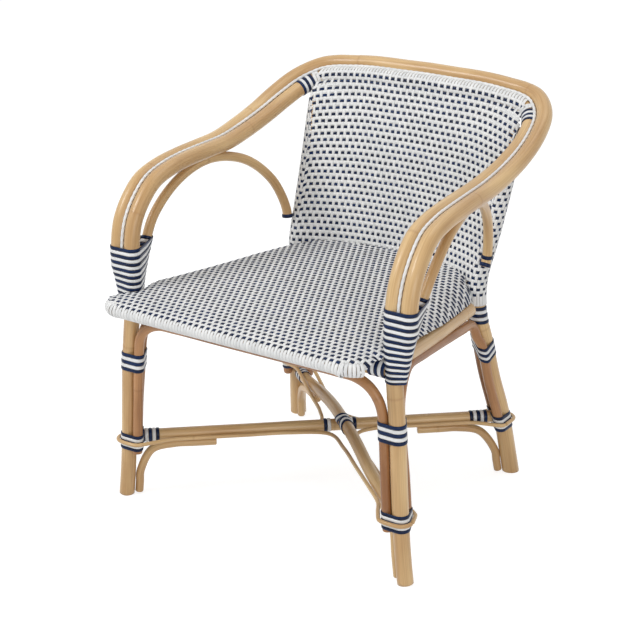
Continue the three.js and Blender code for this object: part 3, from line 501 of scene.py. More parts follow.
# Poles
POLE_STEP = 5.0
POLE_SIDES = 20
THICK_SIDES = 24
BRACE_SIDES = 16
ROD_SIDES = 12
CAP_ROUND = [(0.0, 0.8), (0.6, 0.93), (1.8, 1.0)]  # how far in from an end, share of the radius
CAP_CLEAR = 2.5  # no other ring of points lies so close to an end
NODE_SPACING = (260, 430)  # from one growth ring to the next
NODE_COUNT = 12
NODE_SHIFT = 120  # the first one comes up to this much earlier
NODE_CLEAR = 25  # none lies so close to an end
NODE_STATIONS = (-4, -2, -0.8, 0.8, 2, 4)
NODE_WIDTH = 2.2
NODE_COLOUR = 0.32
NODE_BULGE = 0.012  # this and the two below are shares of the radius
WAIST = 0.006
SWELL = 0.006
WAIST_PLACE = 7  # past each growth ring
WAIST_WIDTH = 6
SWELL_LENGTH = 37
SWELL_START = 6
GRAIN_SHIFT = 900  # how far apart the grain of two poles may start
FOOT_LEAST = 0.5  # a foot's rings of points that don't reach this high are left out
FOOT_SLOPE = 0.3


def pole(node, curve, radius, trim=(0, 0), material=RATTAN, sides=POLE_SIDES, floor=False):
    """A rattan pole along a curve, less a trim at each end; with floor, its foot is cut level."""
    start, end = trim[0], curve.length - trim[1]
    run = curve.even(POLE_STEP, start, end)
    rings_at = np.cumsum(rng.uniform(*NODE_SPACING, NODE_COUNT)) + start - rng.uniform(0, NODE_SHIFT)
    rings_at = rings_at[(rings_at > start + NODE_CLEAR) & (rings_at < end - NODE_CLEAR)]
    extra = [ring + offset for ring in rings_at for offset in NODE_STATIONS]
    caps = [start + depth for depth, _ in CAP_ROUND] + [end - depth for depth, _ in CAP_ROUND]
    between = run[(run > start + CAP_CLEAR) & (run < end - CAP_CLEAR)]
    run = np.unique(np.concatenate([between, extra, caps]))
    line = curve.at_run(run)
    tangent, side, other = frames(line)
    grown = np.full(len(run), float(radius))
    ring = np.zeros(len(run))
    for spot in rings_at:
        near = np.exp(-(((run - spot) / NODE_WIDTH) ** 2))
        ring = np.maximum(ring, near)
        grown *= 1 + NODE_BULGE * near - WAIST * np.exp(-(((run - spot - WAIST_PLACE) / WAIST_WIDTH) ** 2))
    grown *= 1 + SWELL * np.sin(run / SWELL_LENGTH + rng.uniform(0, SWELL_START))
    grown *= np.interp(np.minimum(run - start, end - run), *zip(*CAP_ROUND))
    angle = np.linspace(0, 2 * np.pi, sides, endpoint=False)
    rings = line[:, None] + around(side, other, angle) * grown[:, None, None]
    if floor:
        keep = rings[:, :, 2].max(1) > FOOT_LEAST
        rings, run, ring, tangent = rings[keep], run[keep], ring[keep], tangent[keep]
        lift = np.maximum(0, -rings[:, :, 2]) / np.maximum(tangent[:, None, 2], FOOT_SLOPE)
        rings = rings + tangent[:, None] * lift[..., None]
        rings[:, :, 2] = np.maximum(rings[:, :, 2], 0)
    shift = rng.uniform(0, GRAIN_SHIFT, 3)
    fibre = fibre_grid(np.cos(angle) * radius, np.sin(angle) * radius, run[:, None], shift)
    mark = np.repeat((ring * NODE_COLOUR)[:, None], sides, 1)
    piece = Piece(f"{node}_look", material, "rattan", node)
    piece.sweep(rings, fibre, mark)
    piece.make()


# Circles of the poles at a height, each a centre and a radius, for what is wound round them
FIT = 0.3
SCARF_TIP = 3.0  # radius of the lower end of the outer pole's taper
ARCH_FOOT = 13.5  # radius of the arm arch where it grows out of the leg, and its place there
ARCH_FOOT_SHIFT = (2, 6)
ARCH_TILT = 1.1  # the slanted arch is this much wider when cut level
LEG_SHARES = (0, 0.45)
HOOP_FOOT_SHARES = (0, 0.1)
ARCH_START_SHARES = (0, 0.33)
ARCH_END_SHARES = (0.67, 1)


def leg_circle(side, z):
    return leg_pole[side].at_height(z, *LEG_SHARES), HOOP + FIT


def post_circle(side, z):
    return post[side].at_height(z), POST + FIT


def arch_circle(curve, z, shares, side):
    """An arch at the right side's height, or its mirror image at the left."""
    return curve.at_height(z, *shares) * (SIDES[side], 1, 1), ARCH + FIT


def scarf_circle(side, z):
    """The outer pole's foot, which tapers beside the leg below it."""
    if z > SCARF[1]:
        return outer_hoop.at_height(z, *HOOP_FOOT_SHARES) * (SIDES[side], 1, 1), HOOP + FIT
    radius = np.interp(z, SCARF, (SCARF_TIP, HOOP))
    spot = leg_circle(side, z)[0] + (SIDES[side] * (HOOP + radius + HOOP_GAP), 0, 0)
    return spot, radius + FIT


def arm_arch_circle(side, z):
    """The arm arch, which grows out of the leg in the lower part of the front binding."""
    arch = arm_arch[side]
    grown = arch.points[0][2] - ARCH / 2
    if z > grown:
        return arch.at_height(z, *ARCH_START_SHARES), ARCH * ARCH_TILT
    share = np.interp(z, (FRONT_WRAP[0], grown), (0, 1))
    foot = leg_circle(side, z)[0] + (SIDES[side] * ARCH_FOOT_SHIFT[0], ARCH_FOOT_SHIFT[1], 0)
    spot = foot * (1 - share) + np.array([*arch.points[0][:2], z]) * share
    return spot, ARCH_FOOT + (ARCH * ARCH_TILT - ARCH_FOOT) * share


def front_wrap_circles(side):
    return lambda z: [leg_circle(side, z), scarf_circle(side, z), arm_arch_circle(side, z)]


def front_tie_circles(side):
    return lambda z: [
        leg_circle(side, z),
        arch_circle(front_arch, z, ARCH_START_SHARES, side),
        arch_circle(side_arch["right"], z, ARCH_START_SHARES, side),
    ]


def back_tie_circles(side):
    return lambda z: [
        post_circle(side, z),
        arch_circle(back_arch, z, ARCH_START_SHARES, side),
        arch_circle(side_arch["right"], z, ARCH_END_SHARES, side),
    ]


def back_leg_circles(side):
    return lambda z: [post_circle(side, z)]


# Loops round bundles of poles
LOOP = 96  # points of a loop
LOOP_STEP = 2.2  # about the way from one to the next
HULL_ANGLES = 181
LEVEL_STEP = 1.5
LEVEL_MARGIN = 12


def hull_loop(circles, start):
    """The tight loop round some circles: even points and outward directions, from one direction on."""
    angles = start + np.linspace(0, 2 * np.pi, HULL_ANGLES)
    out = np.stack([np.cos(angles), np.sin(angles)], -1)
    holder = np.array([out @ spot[:2] + radius for spot, radius in circles]).argmax(0)
    spots = np.array([spot[:2] for spot, _ in circles])
    radii = np.array([radius for _, radius in circles])
    points = spots[holder] + out * radii[holder][:, None]
    steps = np.linalg.norm(np.diff(points, axis=0), axis=1)
    run = np.concatenate([[0], np.cumsum(steps)])
    even = np.linspace(0, run[-1], LOOP, endpoint=False)
    loop, normal = (
        np.stack([np.interp(even, run, rows[:, k]) for k in range(2)], -1) for rows in (points, out))
    return loop, unit(normal)


class Bundle:
    """Poles tied together, as loops at every height."""

    def __init__(self, circles_at, bottom, top, start):
        self.heights = np.arange(bottom - LEVEL_MARGIN, top + LEVEL_MARGIN + LEVEL_STEP, LEVEL_STEP)
        found = [hull_loop(circles_at(z), start) for z in self.heights]
        self.loops, self.normals = (np.array(rows) for rows in zip(*found))

    def spot(self, place, height):
        """Point on the loop and its outward direction; place counts steps round the loop."""
        j = place % LOOP
        level = (height - self.heights[0]) / LEVEL_STEP
        i = np.clip(level.astype(int), 0, len(self.heights) - 2)
        w = (level - i)[..., None]
        point = self.loops[i, j] * (1 - w) + self.loops[i + 1, j] * w
        out = unit(self.normals[i, j] * (1 - w) + self.normals[i + 1, j] * w)
        return point, out


# Strips of cane: a place across the strip, and how high its crown is there
STRIP_PROFILE = np.array([
    (0.0, 0.0), (0.03, 0.45), (0.16, 0.85), (0.38, 1.0), (0.62, 1.0), (0.84, 0.85), (0.97, 0.45), (1.0, 0.0),
])
STRIP_ACROSS, STRIP_CROWN = STRIP_PROFILE.T
STRIP_GAP = 0.35
STRIP_SIDES = 28
CANE = 1.5
FIBRE_WIDTH = 6  # what a strip or strand counts as, across its fibres
STRIP_SHIFT = 700  # how far apart the grain of two strips may start
CLIMB = 0.22  # share of a turn in which a strand climbs to its next place
NEAR = np.array([-1, 0, 1])  # millimetres along a pole, for its direction


def lay_strip(piece, bundle, steps, low, width, closed=False):
    """One flat strand along the loops; low is its lower edge at each step."""
    low = np.broadcast_to(low, steps.shape) + STRIP_GAP / 2
    wide = np.broadcast_to(width, steps.shape) - STRIP_GAP
    heights = low[:, None] + wide[:, None] * STRIP_ACROSS
    point, out = bundle.spot(steps[:, None], heights)
    flat = point + out * (CANE * STRIP_CROWN)[:, None]
    rings = np.concatenate([flat, heights[..., None]], -1)
    run = np.arange(len(steps)) * LOOP_STEP
    fibre = fibre_grid(STRIP_ACROSS * FIBRE_WIDTH, 0, run[:, None], rng.uniform(0, STRIP_SHIFT, 3))
    piece.sweep(rings, fibre, closed=closed)


def spiral(piece, bundle, heights, places, first, crowd):
    """Every second strip place, as one unbroken strand that climbs mostly on the hidden side."""
    turns = (places - first + 1) // 2
    steps = np.arange(LOOP * turns)
    turn, part = np.divmod(steps / LOOP, 1.0)
    climb = np.clip((part - (1 - CLIMB)) / CLIMB, 0, 1)
    climb = climb * climb * (3 - 2 * climb)
    spot = np.minimum(first + 2 * (turn + climb), places - 1)

    def height(place):
        even = place / places
        return heights[0] + (heights[1] - heights[0]) * (crowd * even + (1 - crowd) * even**2)

    low = height(spot)
    lay_strip(piece, bundle, steps, low, height(spot + 1) - low)


def two_strands(names, nodes, circles_at, heights, places, start, crowd=1.0):
    """A navy and a white strand in turns; crowd below 1 draws the lower turns together."""
    bundle = Bundle(circles_at, *heights, start)
    for first, colour in enumerate(CANES):
        piece = cane_piece(names[first], colour, *nodes[first])
        spiral(piece, bundle, heights, places, first, crowd)
        piece.make()


def tube_rings(piece, curve, radius, runs, width, skew=0.0):
    """Strips wound round one pole, each at its own place along it."""
    angle = np.linspace(0, 2 * np.pi, STRIP_SIDES, endpoint=False)
    along = (STRIP_ACROSS - 0.5) * (width - STRIP_GAP) + skew * np.cos(angle)[:, None]
    height = radius + FIT + CANE * STRIP_CROWN
    for run in runs:
        line = curve.at_run(run + NEAR)
        tangent, side, other = frames(line)
        out = around(side, other, angle)[1]
        rings = line[1] + tangent[1] * along[..., None] + out[:, None] * height[:, None]
        shift = (rng.uniform(0, STRIP_SHIFT), 0, 0)
        fibre = fibre_grid(STRIP_ACROSS * FIBRE_WIDTH, 0, (angle * radius)[:, None], shift)
        piece.sweep(rings, fibre, closed=True)


# Poles of the frame
BACK_POLE = HOOP - 0.4
FOOT_SHARES = (0, 0.2)
LEG_BELOW = 9  # how far below the floor a foot's mesh starts, before it is cut level
POST_BELOW = 12
POST_HIDDEN = 14  # the posts' ends stay under the weave
ARCH_HIDDEN = {"right": 10, "left": 26}  # the arm arches end at their last navy strips
SIDE_RAIL_TRIM = (16, 14)
FRONT_RAIL_TRIM = (46, 0)
BACK_RAIL_TRIM = (16, 16)
CROSS_RAIL_TRIM = (18, 18)
STRETCHER_TRIM = (14, 16)


def foot_start(curve, below):
    return max(curve.run_at_height(0, *FOOT_SHARES) - below, 0)


pole("outer_arm_and_top_rail_pole", outer_hoop, HOOP, sides=THICK_SIDES)
pole("back_upper_pole", back_pole, BACK_POLE)
for side in SIDES:
    leg_trim = (foot_start(leg_pole[side], LEG_BELOW), 0)
    post_trim = (foot_start(post[side], POST_BELOW), POST_HIDDEN)
    pole(f"front_leg_and_arm_pole_{side}", leg_pole[side], HOOP, leg_trim, sides=THICK_SIDES, floor=True)
    pole(f"back_leg_post_{side}", post[side], POST, post_trim, sides=THICK_SIDES, floor=True)
    pole(f"arm_arch_{side}", arm_arch[side], ARCH, (0, ARCH_HIDDEN[side]))
    # The side arches take the darker rattan copy, which paints in the shade under the seat
    pole(f"side_arch_{side}", side_arch[side], ARCH, material=RATTAN_SHADED)
    pole(f"seat_side_rail_{side}", side_rail[side], SIDE_RAIL, SIDE_RAIL_TRIM)
# The front and back arches take the darker rattan copy, which paints in the shade under the seat
pole("front_arch", front_arch, ARCH, material=RATTAN_SHADED)
pole("back_arch", back_arch, ARCH, material=RATTAN_SHADED)
pole("seat_front_rail", front_rail, FRONT_RAIL, FRONT_RAIL_TRIM)
pole("seat_back_rail", back_rail, BACK_RAIL, BACK_RAIL_TRIM)
pole("front_cross_rail", cross_rail, CROSS_RAIL, CROSS_RAIL_TRIM)
pole("low_stretcher", low_stretcher, STRETCHER, STRETCHER_TRIM)
pole("high_stretcher", high_stretcher, STRETCHER, STRETCHER_TRIM)

# Corner braces
BRACE_FOOT_SHARES = (0, 0.3)
BRACE_TILT = 1.02
BRACE_HEIGHTS = (2.3, 26, 48)
BRACE_INWARD_SHARE = 0.3  # where along a stretcher its direction is taken
BRACE_BEND_SHARE = 0.06
BRACE_BEND_DROP = BRACE * 1.2
BRACE_RUN_SHARES = (0.12, 0.17, 0.23)
FRONT_RIGHT_TURN = math.radians(17)  # the front right brace stands beside its stretcher's line


def brace(foot, foot_radius, stretcher, backwards, turn=0.0):
    """Up the inner side of a foot, then in under the stretcher, whose far end is meant by backwards."""
    def way(share):
        return stretcher.at_run(stretcher.length * (1 - share if backwards else share))

    under = np.array((0, 0, STRETCHER + BRACE + EASY))
    x, y, _ = unit((way(BRACE_INWARD_SHARE) - way(0)) * (1, 1, 0))
    inward = np.array([x * math.cos(turn) - y * math.sin(turn), x * math.sin(turn) + y * math.cos(turn), 0])
    beside = foot_radius * BRACE_TILT + BRACE + EASY
    upright = [foot.at_height(z, *BRACE_FOOT_SHARES) + inward * beside for z in BRACE_HEIGHTS]
    elbow = way(BRACE_BEND_SHARE) - under - (0, 0, BRACE_BEND_DROP)
    return Curve([*upright, elbow, *(way(share) - under for share in BRACE_RUN_SHARES)])


BRACES = {
    "front_right": (leg_pole["right"], HOOP, high_stretcher, False, FRONT_RIGHT_TURN),
    "back_left": (post["left"], POST, high_stretcher, True),
    "front_left": (leg_pole["left"], HOOP, low_stretcher, False),
    "back_right": (post["right"], POST, low_stretcher, True),
}
for name, spec in BRACES.items():
    pole(f"corner_brace_{name}", brace(*spec), BRACE, sides=BRACE_SIDES)

# Thin rods: round a tied corner, in beside the stretcher, and out to the next corner
ROD_FIT = 2.4
ROD_ROUND_SHARES = (-0.5, -0.2, 0.1, 0.4, 0.7, 0.95)  # the front and back rods go round the corner
ROD_BESIDE_SHARES = (0.64, 0.8, 0.95)
ROD_RUN_SHARES = ((0.11, 1.75), (0.19, 1.14), (0.35, 1.02), (0.55, 1.02), (0.76, 1.02))
LIFT_ACROSS = (60, 200)  # the rods rise to the left back tie over these stretches of -X and Y
LIFT_BACK = (0, 150)


def rod_half(circles, turn, shares):
    """From a corner's outside to the crossing; turn is 1 or -1, for the side of the stretcher."""
    spots = np.array([spot[:2] for spot, _ in circles])
    radii = np.array([radius for _, radius in circles])
    centre = np.array([*spots[0], ROD_HEIGHT])
    inward = -centre * (1, 1, 0)
    out_angle = math.atan2(-inward[1], -inward[0])
    beside_angle = out_angle + turn * math.pi / 2
    beside = np.array([math.cos(beside_angle), math.sin(beside_angle), 0]) * (STRETCHER + ROD + EASY)
    found = []
    for share in shares:
        angle = out_angle + turn * share * math.pi / 2
        out = np.array([math.cos(angle), math.sin(angle)])
        best = np.argmax(spots @ out + radii)
        found.append([*(spots[best] + out * (radii[best] + ROD_FIT + ROD)), ROD_HEIGHT])
    found += [centre + inward * way + beside * far for way, far in ROD_RUN_SHARES]
    return np.array(found)


def lifted(points):
    share = np.interp(-points[:, 0], LIFT_ACROSS, (0, 1)) * np.interp(points[:, 1], LIFT_BACK, (0, 1))
    return points + share[:, None] * (0, 0, BACK_LEFT_LIFT)


front_corner = front_tie_circles("right")(ROD_HEIGHT)
back_corner = back_tie_circles("right")(ROD_HEIGHT)
front_half = rod_half(front_corner, -1, ROD_ROUND_SHARES)
back_half = rod_half(back_corner, 1, ROD_ROUND_SHARES)
right_rod = np.vstack([
    rod_half(front_corner, 1, ROD_BESIDE_SHARES),
    ROD_TURNS["side"],
    rod_half(back_corner, -1, ROD_BESIDE_SHARES)[::-1],
])
RODS = {
    "front": np.vstack([front_half, ROD_TURNS["front"], mirror(front_half)[::-1]]),
    "back": np.vstack([back_half, ROD_TURNS["back"], mirror(back_half)[::-1]]),
    "right": right_rod,
    "left": mirror(right_rod),
}
for name, points in RODS.items():
    pole(f"stretcher_rod_{name}", Curve(lifted(points)), ROD, sides=ROD_SIDES)

# Windings of the front legs, ties and back legs
HIDDEN = {"right": math.radians(200), "left": math.radians(150)}  # strands climb just before this direction
FRONT_WRAP_PLACES = 23
FRONT_WRAP_CROWD = 0.8
TIE_PLACES = 5


def tie(node, circles_at, heights, side):
    """A short binding of two strands, whose navy one stands for the node."""
    names = [f"{node}_{colour}" for colour in CANES]
    two_strands(names, ((node,), ()), circles_at, heights, TIE_PLACES, HIDDEN[side])


for side in SIDES:
    nodes = [f"front_wrap_{colour}_{side}" for colour in CANES]
    two_strands(
        [f"{node}_look" for node in nodes], [(node,) for node in nodes], front_wrap_circles(side),
        FRONT_WRAP, FRONT_WRAP_PLACES, HIDDEN[side], FRONT_WRAP_CROWD)
    back_lift = BACK_LEFT_LIFT if side == "left" else 0
    tie(f"front_leg_tie_{side}", front_tie_circles(side), UPPER_TIE, side)
    tie(f"back_leg_wrap_{side}", back_leg_circles(side), BACK_WRAP, side)
    tie(f"low_tie_front_{side}", front_tie_circles(side), LOWER_TIE, side)
    tie(f"low_tie_back_{side}", back_tie_circles(side), [z + back_lift for z in LOWER_TIE], side)

# V-shaped ties of the back legs, lowest at their outer side
CHEVRON_RISE = 12
CHEVRON_STEEP = 1.7
CHEVRON_BEND = 1.1
CHEVRON_OUT = {"right": math.radians(-35), "left": math.radians(215)}


def chevron(side):
    node = f"chevron_tie_{side}"
    bundle = Bundle(back_tie_circles(side), CHEVRON[0], CHEVRON[1] + CHEVRON_RISE, CHEVRON_OUT[side])
    steps = np.arange(LOOP)
    away = np.minimum(steps, LOOP - steps) / (LOOP / 2)
    up = CHEVRON_RISE * np.clip(away * CHEVRON_STEEP, 0, 1) ** CHEVRON_BEND
    wide = (CHEVRON[1] - CHEVRON[0]) / TIE_PLACES
    for first, (colour, nodes) in enumerate((("navy", [node]), ("white", []))):
        piece = cane_piece(f"{node}_{colour}", colour, *nodes)
        for place in range(first, TIE_PLACES, 2):
            lay_strip(piece, bundle, steps, CHEVRON[0] + place * wide + up, wide, closed=True)
        piece.make()


for side in SIDES:
    chevron(side)

# Strips round single poles: how wide they are, and where they start
STRETCHER_STRIP = 7.2
CROSSING_STRIP = 7.2
CROSSING = 413  # the stretchers cross at this distance along each of them
COLLAR_STRIP = 7.0
COLLAR_DROP = 19  # below the top of the front binding
COLLAR_SHARES = (0, 0.4)
BACK_COLLAR_STRIP = 8.0
BACK_COLLAR_REACH = 34  # from the end of the arm arch
BACK_COLLAR = {"right": "N.N", "left": "N"}
CORNER_STRIP = 6.8
CORNER_REACH_BACK = 38  # from the end of the arm pole
STUB_STRIP = 7.0
STUB_START = 16.5
FIVE = "NWNWN"


def banded(name, nodes, curve, radius, start, width, colours, skew=0.0):
    """Strips side by side from a start: N is navy, W is white, and a dot leaves one out."""
    for colour in CANES:
        runs = [start + (k + 0.5) * width for k, c in enumerate(colours) if c == colour[0].upper()]
        if runs:
            piece = cane_piece(f"{name}_{colour}", colour, *(nodes if colour == "navy" else ()))
            tube_rings(piece, curve, radius, runs, width, skew)
            piece.make()


for corner, curve, share in (
    ("front_left", low_stretcher, 0.032), ("back_right", low_stretcher, 0.91),
    ("front_right", high_stretcher, 0.032), ("back_left", high_stretcher, 0.91),
):
    name = f"stretcher_wrap_{corner}"
    banded(name, [name], curve, STRETCHER, curve.length * share, STRETCHER_STRIP, FIVE)
for place, nodes, curve, shift, colours, skew in (
    ("left", ["crossing_wrap"], low_stretcher, -30, "NW", 0.0),
    ("right", [], low_stretcher, 21, "WN", 0.0),
    ("over_back", [], high_stretcher, -38, "NWN", -9.0),
    ("over_front", [], high_stretcher, -68, "NWN", 9.0),
):
    banded(f"crossing_wrap_{place}", nodes, curve, STRETCHER, CROSSING + shift, CROSSING_STRIP, colours, skew)


def side_bands(side):
    """Pole, radius, start, strip width and colours of what is banded at one side."""
    arch, arm = arm_arch[side], leg_pole[side]
    collar_start = arch.run_at_height(FRONT_WRAP[1] - COLLAR_DROP, *COLLAR_SHARES)
    far_stub = cross_rail.length - STUB_START - len(FIVE) * STUB_STRIP
    return {
        "arm_arch_collar_front": (arch, ARCH, collar_start, COLLAR_STRIP, "NWN"),
        "arm_arch_collar_back": (
            arch, ARCH, arch.length - BACK_COLLAR_REACH, BACK_COLLAR_STRIP, BACK_COLLAR[side]),
        "corner_wrap": (arm, HOOP, arm.length - CORNER_REACH_BACK, CORNER_STRIP, FIVE),
        "cross_rail_wrap": (
            cross_rail, CROSS_RAIL, STUB_START if side == "right" else far_stub, STUB_STRIP, FIVE),
    }


for side in SIDES:
    for place, spec in side_bands(side).items():
        name = f"{place}_{side}"
        banded(name, [name], *spec)

# Piping: a white twisted cord
CORD_STEP = 1.4
CORD_SIDES = 15
CORD_STRANDS = 3
CORD_CORE = CORD * 0.95
TWIST = 13  # from one strand to the next, along the cord
STRAND_RELIEF = 0.11  # share of the core's radius


def piping_cord():
    run = piping.even(CORD_STEP)
    line = piping.at_run(run)
    _, side, other = frames(line)
    angle = np.linspace(0, 2 * np.pi, CORD_SIDES, endpoint=False)
    radius = CORD_CORE * (
        1 + STRAND_RELIEF * np.cos(CORD_STRANDS * angle - 2 * np.pi * run[:, None] / TWIST))
    piece = Piece("piping_cord_look", WEAVE, "white_weave", "piping_cord")
    piece.sweep(
        line[:, None] + around(side, other, angle) * radius[..., None],
        fibre_grid(np.cos(angle) * CORD, np.sin(angle) * CORD, run[:, None]))
    piece.make()


piping_cord()

# Weave: warps run back or up, wefts run across in pairs of navy and white.
# Each pair lies over every second warp, and the next pair over the others.
PITCH = 6.55
WARP_WIDTH = 6.1
WEFT_WIDTH = 5.9
NAVY_WIDTH = 6.5  # the seat's navy strands lie fuller and a little higher
NAVY_LIFT = 0.35
STRAND = 1.1
WAVE = 0.75
WARP_HOLD = 1.35  # over 1, the wave is cut flat, and a strand lies level over the others for a while
WEFT_HOLD = 1.2
PLAIN = 0.3  # share of the wave at which strands lie where they only run side by side
WEAVE_PROFILE = np.array([(-0.5, -0.35), (-0.41, 0.3), (0.0, 0.5), (0.41, 0.3), (0.5, -0.35)])
FIBRE_DEPTH = 2


def ribbon(piece, line, normal, width):
    tangent = unit(np.gradient(line, axis=0))
    across = unit(np.cross(normal, tangent))
    wide = np.broadcast_to(width, len(line))[:, None, None]
    rings = line[:, None] + across[:, None] * WEAVE_PROFILE[:, :1] * wide
    rings = rings + normal[:, None] * WEAVE_PROFILE[:, 1:] * STRAND
    run = np.concatenate([[0], np.cumsum(np.linalg.norm(np.diff(line, axis=0), axis=1))])
    first, second = WEAVE_PROFILE.T * [[FIBRE_WIDTH], [FIBRE_DEPTH]]
    piece.sweep(rings, fibre_grid(first, second, run[:, None], rng.uniform(0, STRIP_SHIFT, 3)))


def warp_wave(index, row):
    """How high a warp lies at a place among the wefts: over two rows, under two."""
    return np.clip(WARP_HOLD * np.sin(np.pi * ((row + 0.5) / 2 + index)), -1, 1)


def weft_wave(row, column):
    """How high a weft lies at a place among the warps: the other way round."""
    return -np.clip(WEFT_HOLD * np.cos(np.pi * (column + row // 2)), -1, 1)


# Seat surface, from the profile over the middle and the outline at the sides
SEAT_PROFILE = Curve([
    (0, -341, 413.4), (0, -350, 411.3), (0, -358.6, 415.2), (0, -362.5, 424), (0, -359, 432.4),
    (0, -351, 436.2), (0, -330, 439), (0, -290, 441), (0, -230, 441.5), (0, -100, 440), (0, 50, 437),
    (0, 150, 434.5), (0, 206, 433),
])
EDGE_Y = [-350, -346, -334, -312, -296, -288, -284, -250, -228, -203, -125, -45, 39, 100, 130, 151, 210]
EDGE_LEFT = [262, 280, 292, 298, 298, 290, 274, 274, 279, 283, 275, 264, 250, 236, 226, 210, 196]
EDGE_RIGHT = [246, 262, 274, 276, 276, 277, 278, 276, 276, 281, 270, 256, 240, 227, 220, 208, 196]
EDGE_Z = [431, 429, 428, 428, 428, 431, 434, 434, 433, 432, 421, 408, 399, 393, 391, 390, 392]
REAR_X = [0, 95, 170, 200, 215, 230, 262, 290]
REAR_Y = [203, 195, 178, 158, 150, 132, 20, -100]
REAR_START = 100  # from here back, the rear outline also ends the wefts
SEAT_HALF = 286
SEAT_END = 4  # no weft lies this close to the profile's end
EDGE_MARGIN = 1
WARP_REACH = 3  # beyond the rear outline
WEFT_REACH = 6
LIP_RUN = 41.7  # along the profile, from under the lip to the first navy row
LIP_ENDS = {"left": 258, "right": 240}
LIP_MIDDLE = (0, -345, 424)
LIP_BACK = -340
DROP_STRETCH = (-345, -285)  # the sides' slope sets in over this stretch of Y
SHOULDER = 13
CORNER = (252, -322)  # the right front corner turns down beyond this line
CORNER_REACH = 42
CORNER_DROP = 18
EDGE_SHARE = 1.02
SEAT_STEP = 0.5  # for the surface's directions


def seat_edge(x, y):
    return np.where(x < 0, np.interp(y, EDGE_Y, EDGE_LEFT), np.interp(y, EDGE_Y, EDGE_RIGHT))


def seat_surface(x, run):
    """Point of the seat's surface at a distance across and a distance along the warps."""
    _, y, z = np.moveaxis(SEAT_PROFILE.at_run(run), -1, 0)
    share = np.clip(np.abs(x) / seat_edge(x, y), 0, EDGE_SHARE)
    drop = np.maximum(z - np.interp(y, EDGE_Y, EDGE_Z), 0) * np.interp(y, DROP_STRETCH, (0, 1))
    corner = np.clip((x - CORNER[0] + CORNER[1] - y) / CORNER_REACH, 0, 1)
    return np.stack([x, y, z - drop * share**SHOULDER - CORNER_DROP * corner**2], -1)


def seat_outward(x, run):
    """Outward direction that follows the lip round the front rail."""
    across = seat_surface(x + SEAT_STEP, run) - seat_surface(x - SEAT_STEP, run)
    along = seat_surface(x, run + SEAT_STEP) - seat_surface(x, run - SEAT_STEP)
    normal = unit(np.cross(across, along))
    normal = np.where(normal[..., 2:] < 0, -normal, normal)
    spot = seat_surface(x, run)
    from_lip = (spot - LIP_MIDDLE) * (0, 1, 1)
    flip = (np.sum(normal * from_lip, -1) < 0) & (spot[..., 1] < LIP_BACK)
    return np.where(flip[..., None], -normal, normal)


seat_rows = int((SEAT_PROFILE.length - LIP_RUN - SEAT_END) / PITCH)
seat_columns = int(SEAT_HALF / PITCH)
seat_piece = Piece("woven_seat_white", WEAVE, "white_weave", "woven_seat")
seat_navy = Piece("woven_seat_navy", NAVY, "navy_cane")
SHORTEST = 4  # points of a strand
for column in range(-seat_columns, seat_columns + 1):
    x = column * PITCH
    run = np.arange(0, SEAT_PROFILE.length, PITCH / 2)
    xs = np.full(len(run), x)
    spots = seat_surface(xs, run)
    inside = abs(x) <= seat_edge(x, spots[:, 1]) - EDGE_MARGIN
    inside &= spots[:, 1] < np.interp(abs(x), REAR_X, REAR_Y) + WARP_REACH
    if abs(x) > LIP_ENDS["left" if x < 0 else "right"]:
        inside &= run > LIP_RUN - PITCH
    breaks = np.flatnonzero(np.diff(inside.astype(int)))
    for part in np.split(np.arange(len(run)), breaks + 1):
        if not inside[part[0]] or len(part) < SHORTEST:
            continue
        normal = seat_outward(xs[part], run[part])
        row = (run[part] - LIP_RUN) / PITCH
        wave = np.where(row < -1, PLAIN, warp_wave(column, row)) * WAVE
        line = spots[part] + normal * wave[:, None]
        ribbon(seat_piece, line, normal, np.where(row < -1, PITCH, WARP_WIDTH))
for row in range(seat_rows):
    run = LIP_RUN + (row + 0.5) * PITCH
    y = SEAT_PROFILE.at_run(run)[1]
    ends = [float(seat_edge(sign, y)) for sign in (-1, 1)]
    if y > REAR_START:
        rear = float(np.interp(y, REAR_Y[::-1], REAR_X[::-1])) + WEFT_REACH
        ends = [min(end, rear) for end in ends]
    halves = np.arange(-math.floor(ends[0] / PITCH * 2), math.floor(ends[1] / PITCH * 2) + 1)
    x = np.concatenate([[-ends[0]], halves / 2 * PITCH, [ends[1]]])
    runs = np.full(len(x), run)
    normal = seat_outward(x, runs)
    line = seat_surface(x, runs) + normal * (weft_wave(row, x / PITCH) * WAVE)[:, None]
    if row % 2 == 0:
        ribbon(seat_navy, line + normal * NAVY_LIFT, normal, NAVY_WIDTH)
    else:
        ribbon(seat_piece, line, normal, WEFT_WIDTH)

# Ribs round the corners of the lip, from a corner's inner end to the lip's first warp
RIB_RADIUS = 12.8
RIB_STEP = PITCH * 0.86
RIB_FIRST = {"right": 40.0, "left": 2.0}  # the right corner's ribs stop short of the stub binding
RIB_START = -125  # degrees round the rail, and how far apart the points are
RIB_TURN = {"right": 80, "left": 106}
RIB_DEGREES = 11
RAIL_STRETCH = np.linspace(50, 200, 40)  # the lip's first warp is in this stretch from the rail's end
INSIDE = (0, -250, 424)  # a place inside the rail's bend
for side in SIDES:
    inner = 0.0 if side == "right" else front_rail.length
    half = np.abs(front_rail.at_run(np.abs(inner - RAIL_STRETCH))[:, 0])
    reach = float(np.interp(-LIP_ENDS[side], -half, RAIL_STRETCH))
    for step in np.arange(RIB_FIRST[side], reach + PITCH / 2, RIB_STEP):
        near = front_rail.at_run(abs(inner - step) + NEAR)
        outward = unit(np.cross(near[2] - near[0], (0, 0, 1)))
        outward = outward * (1 if outward @ (near[1] - INSIDE) > 0 else -1)
        angle = np.radians(np.arange(RIB_START, RIB_TURN[side], RIB_DEGREES))[:, None]
        out = outward * np.cos(angle) + np.array((0, 0, 1)) * np.sin(angle)
        ribbon(seat_piece, near[1] + out * RIB_RADIUS, out, PITCH)
seat_piece.make()
seat_navy.make()

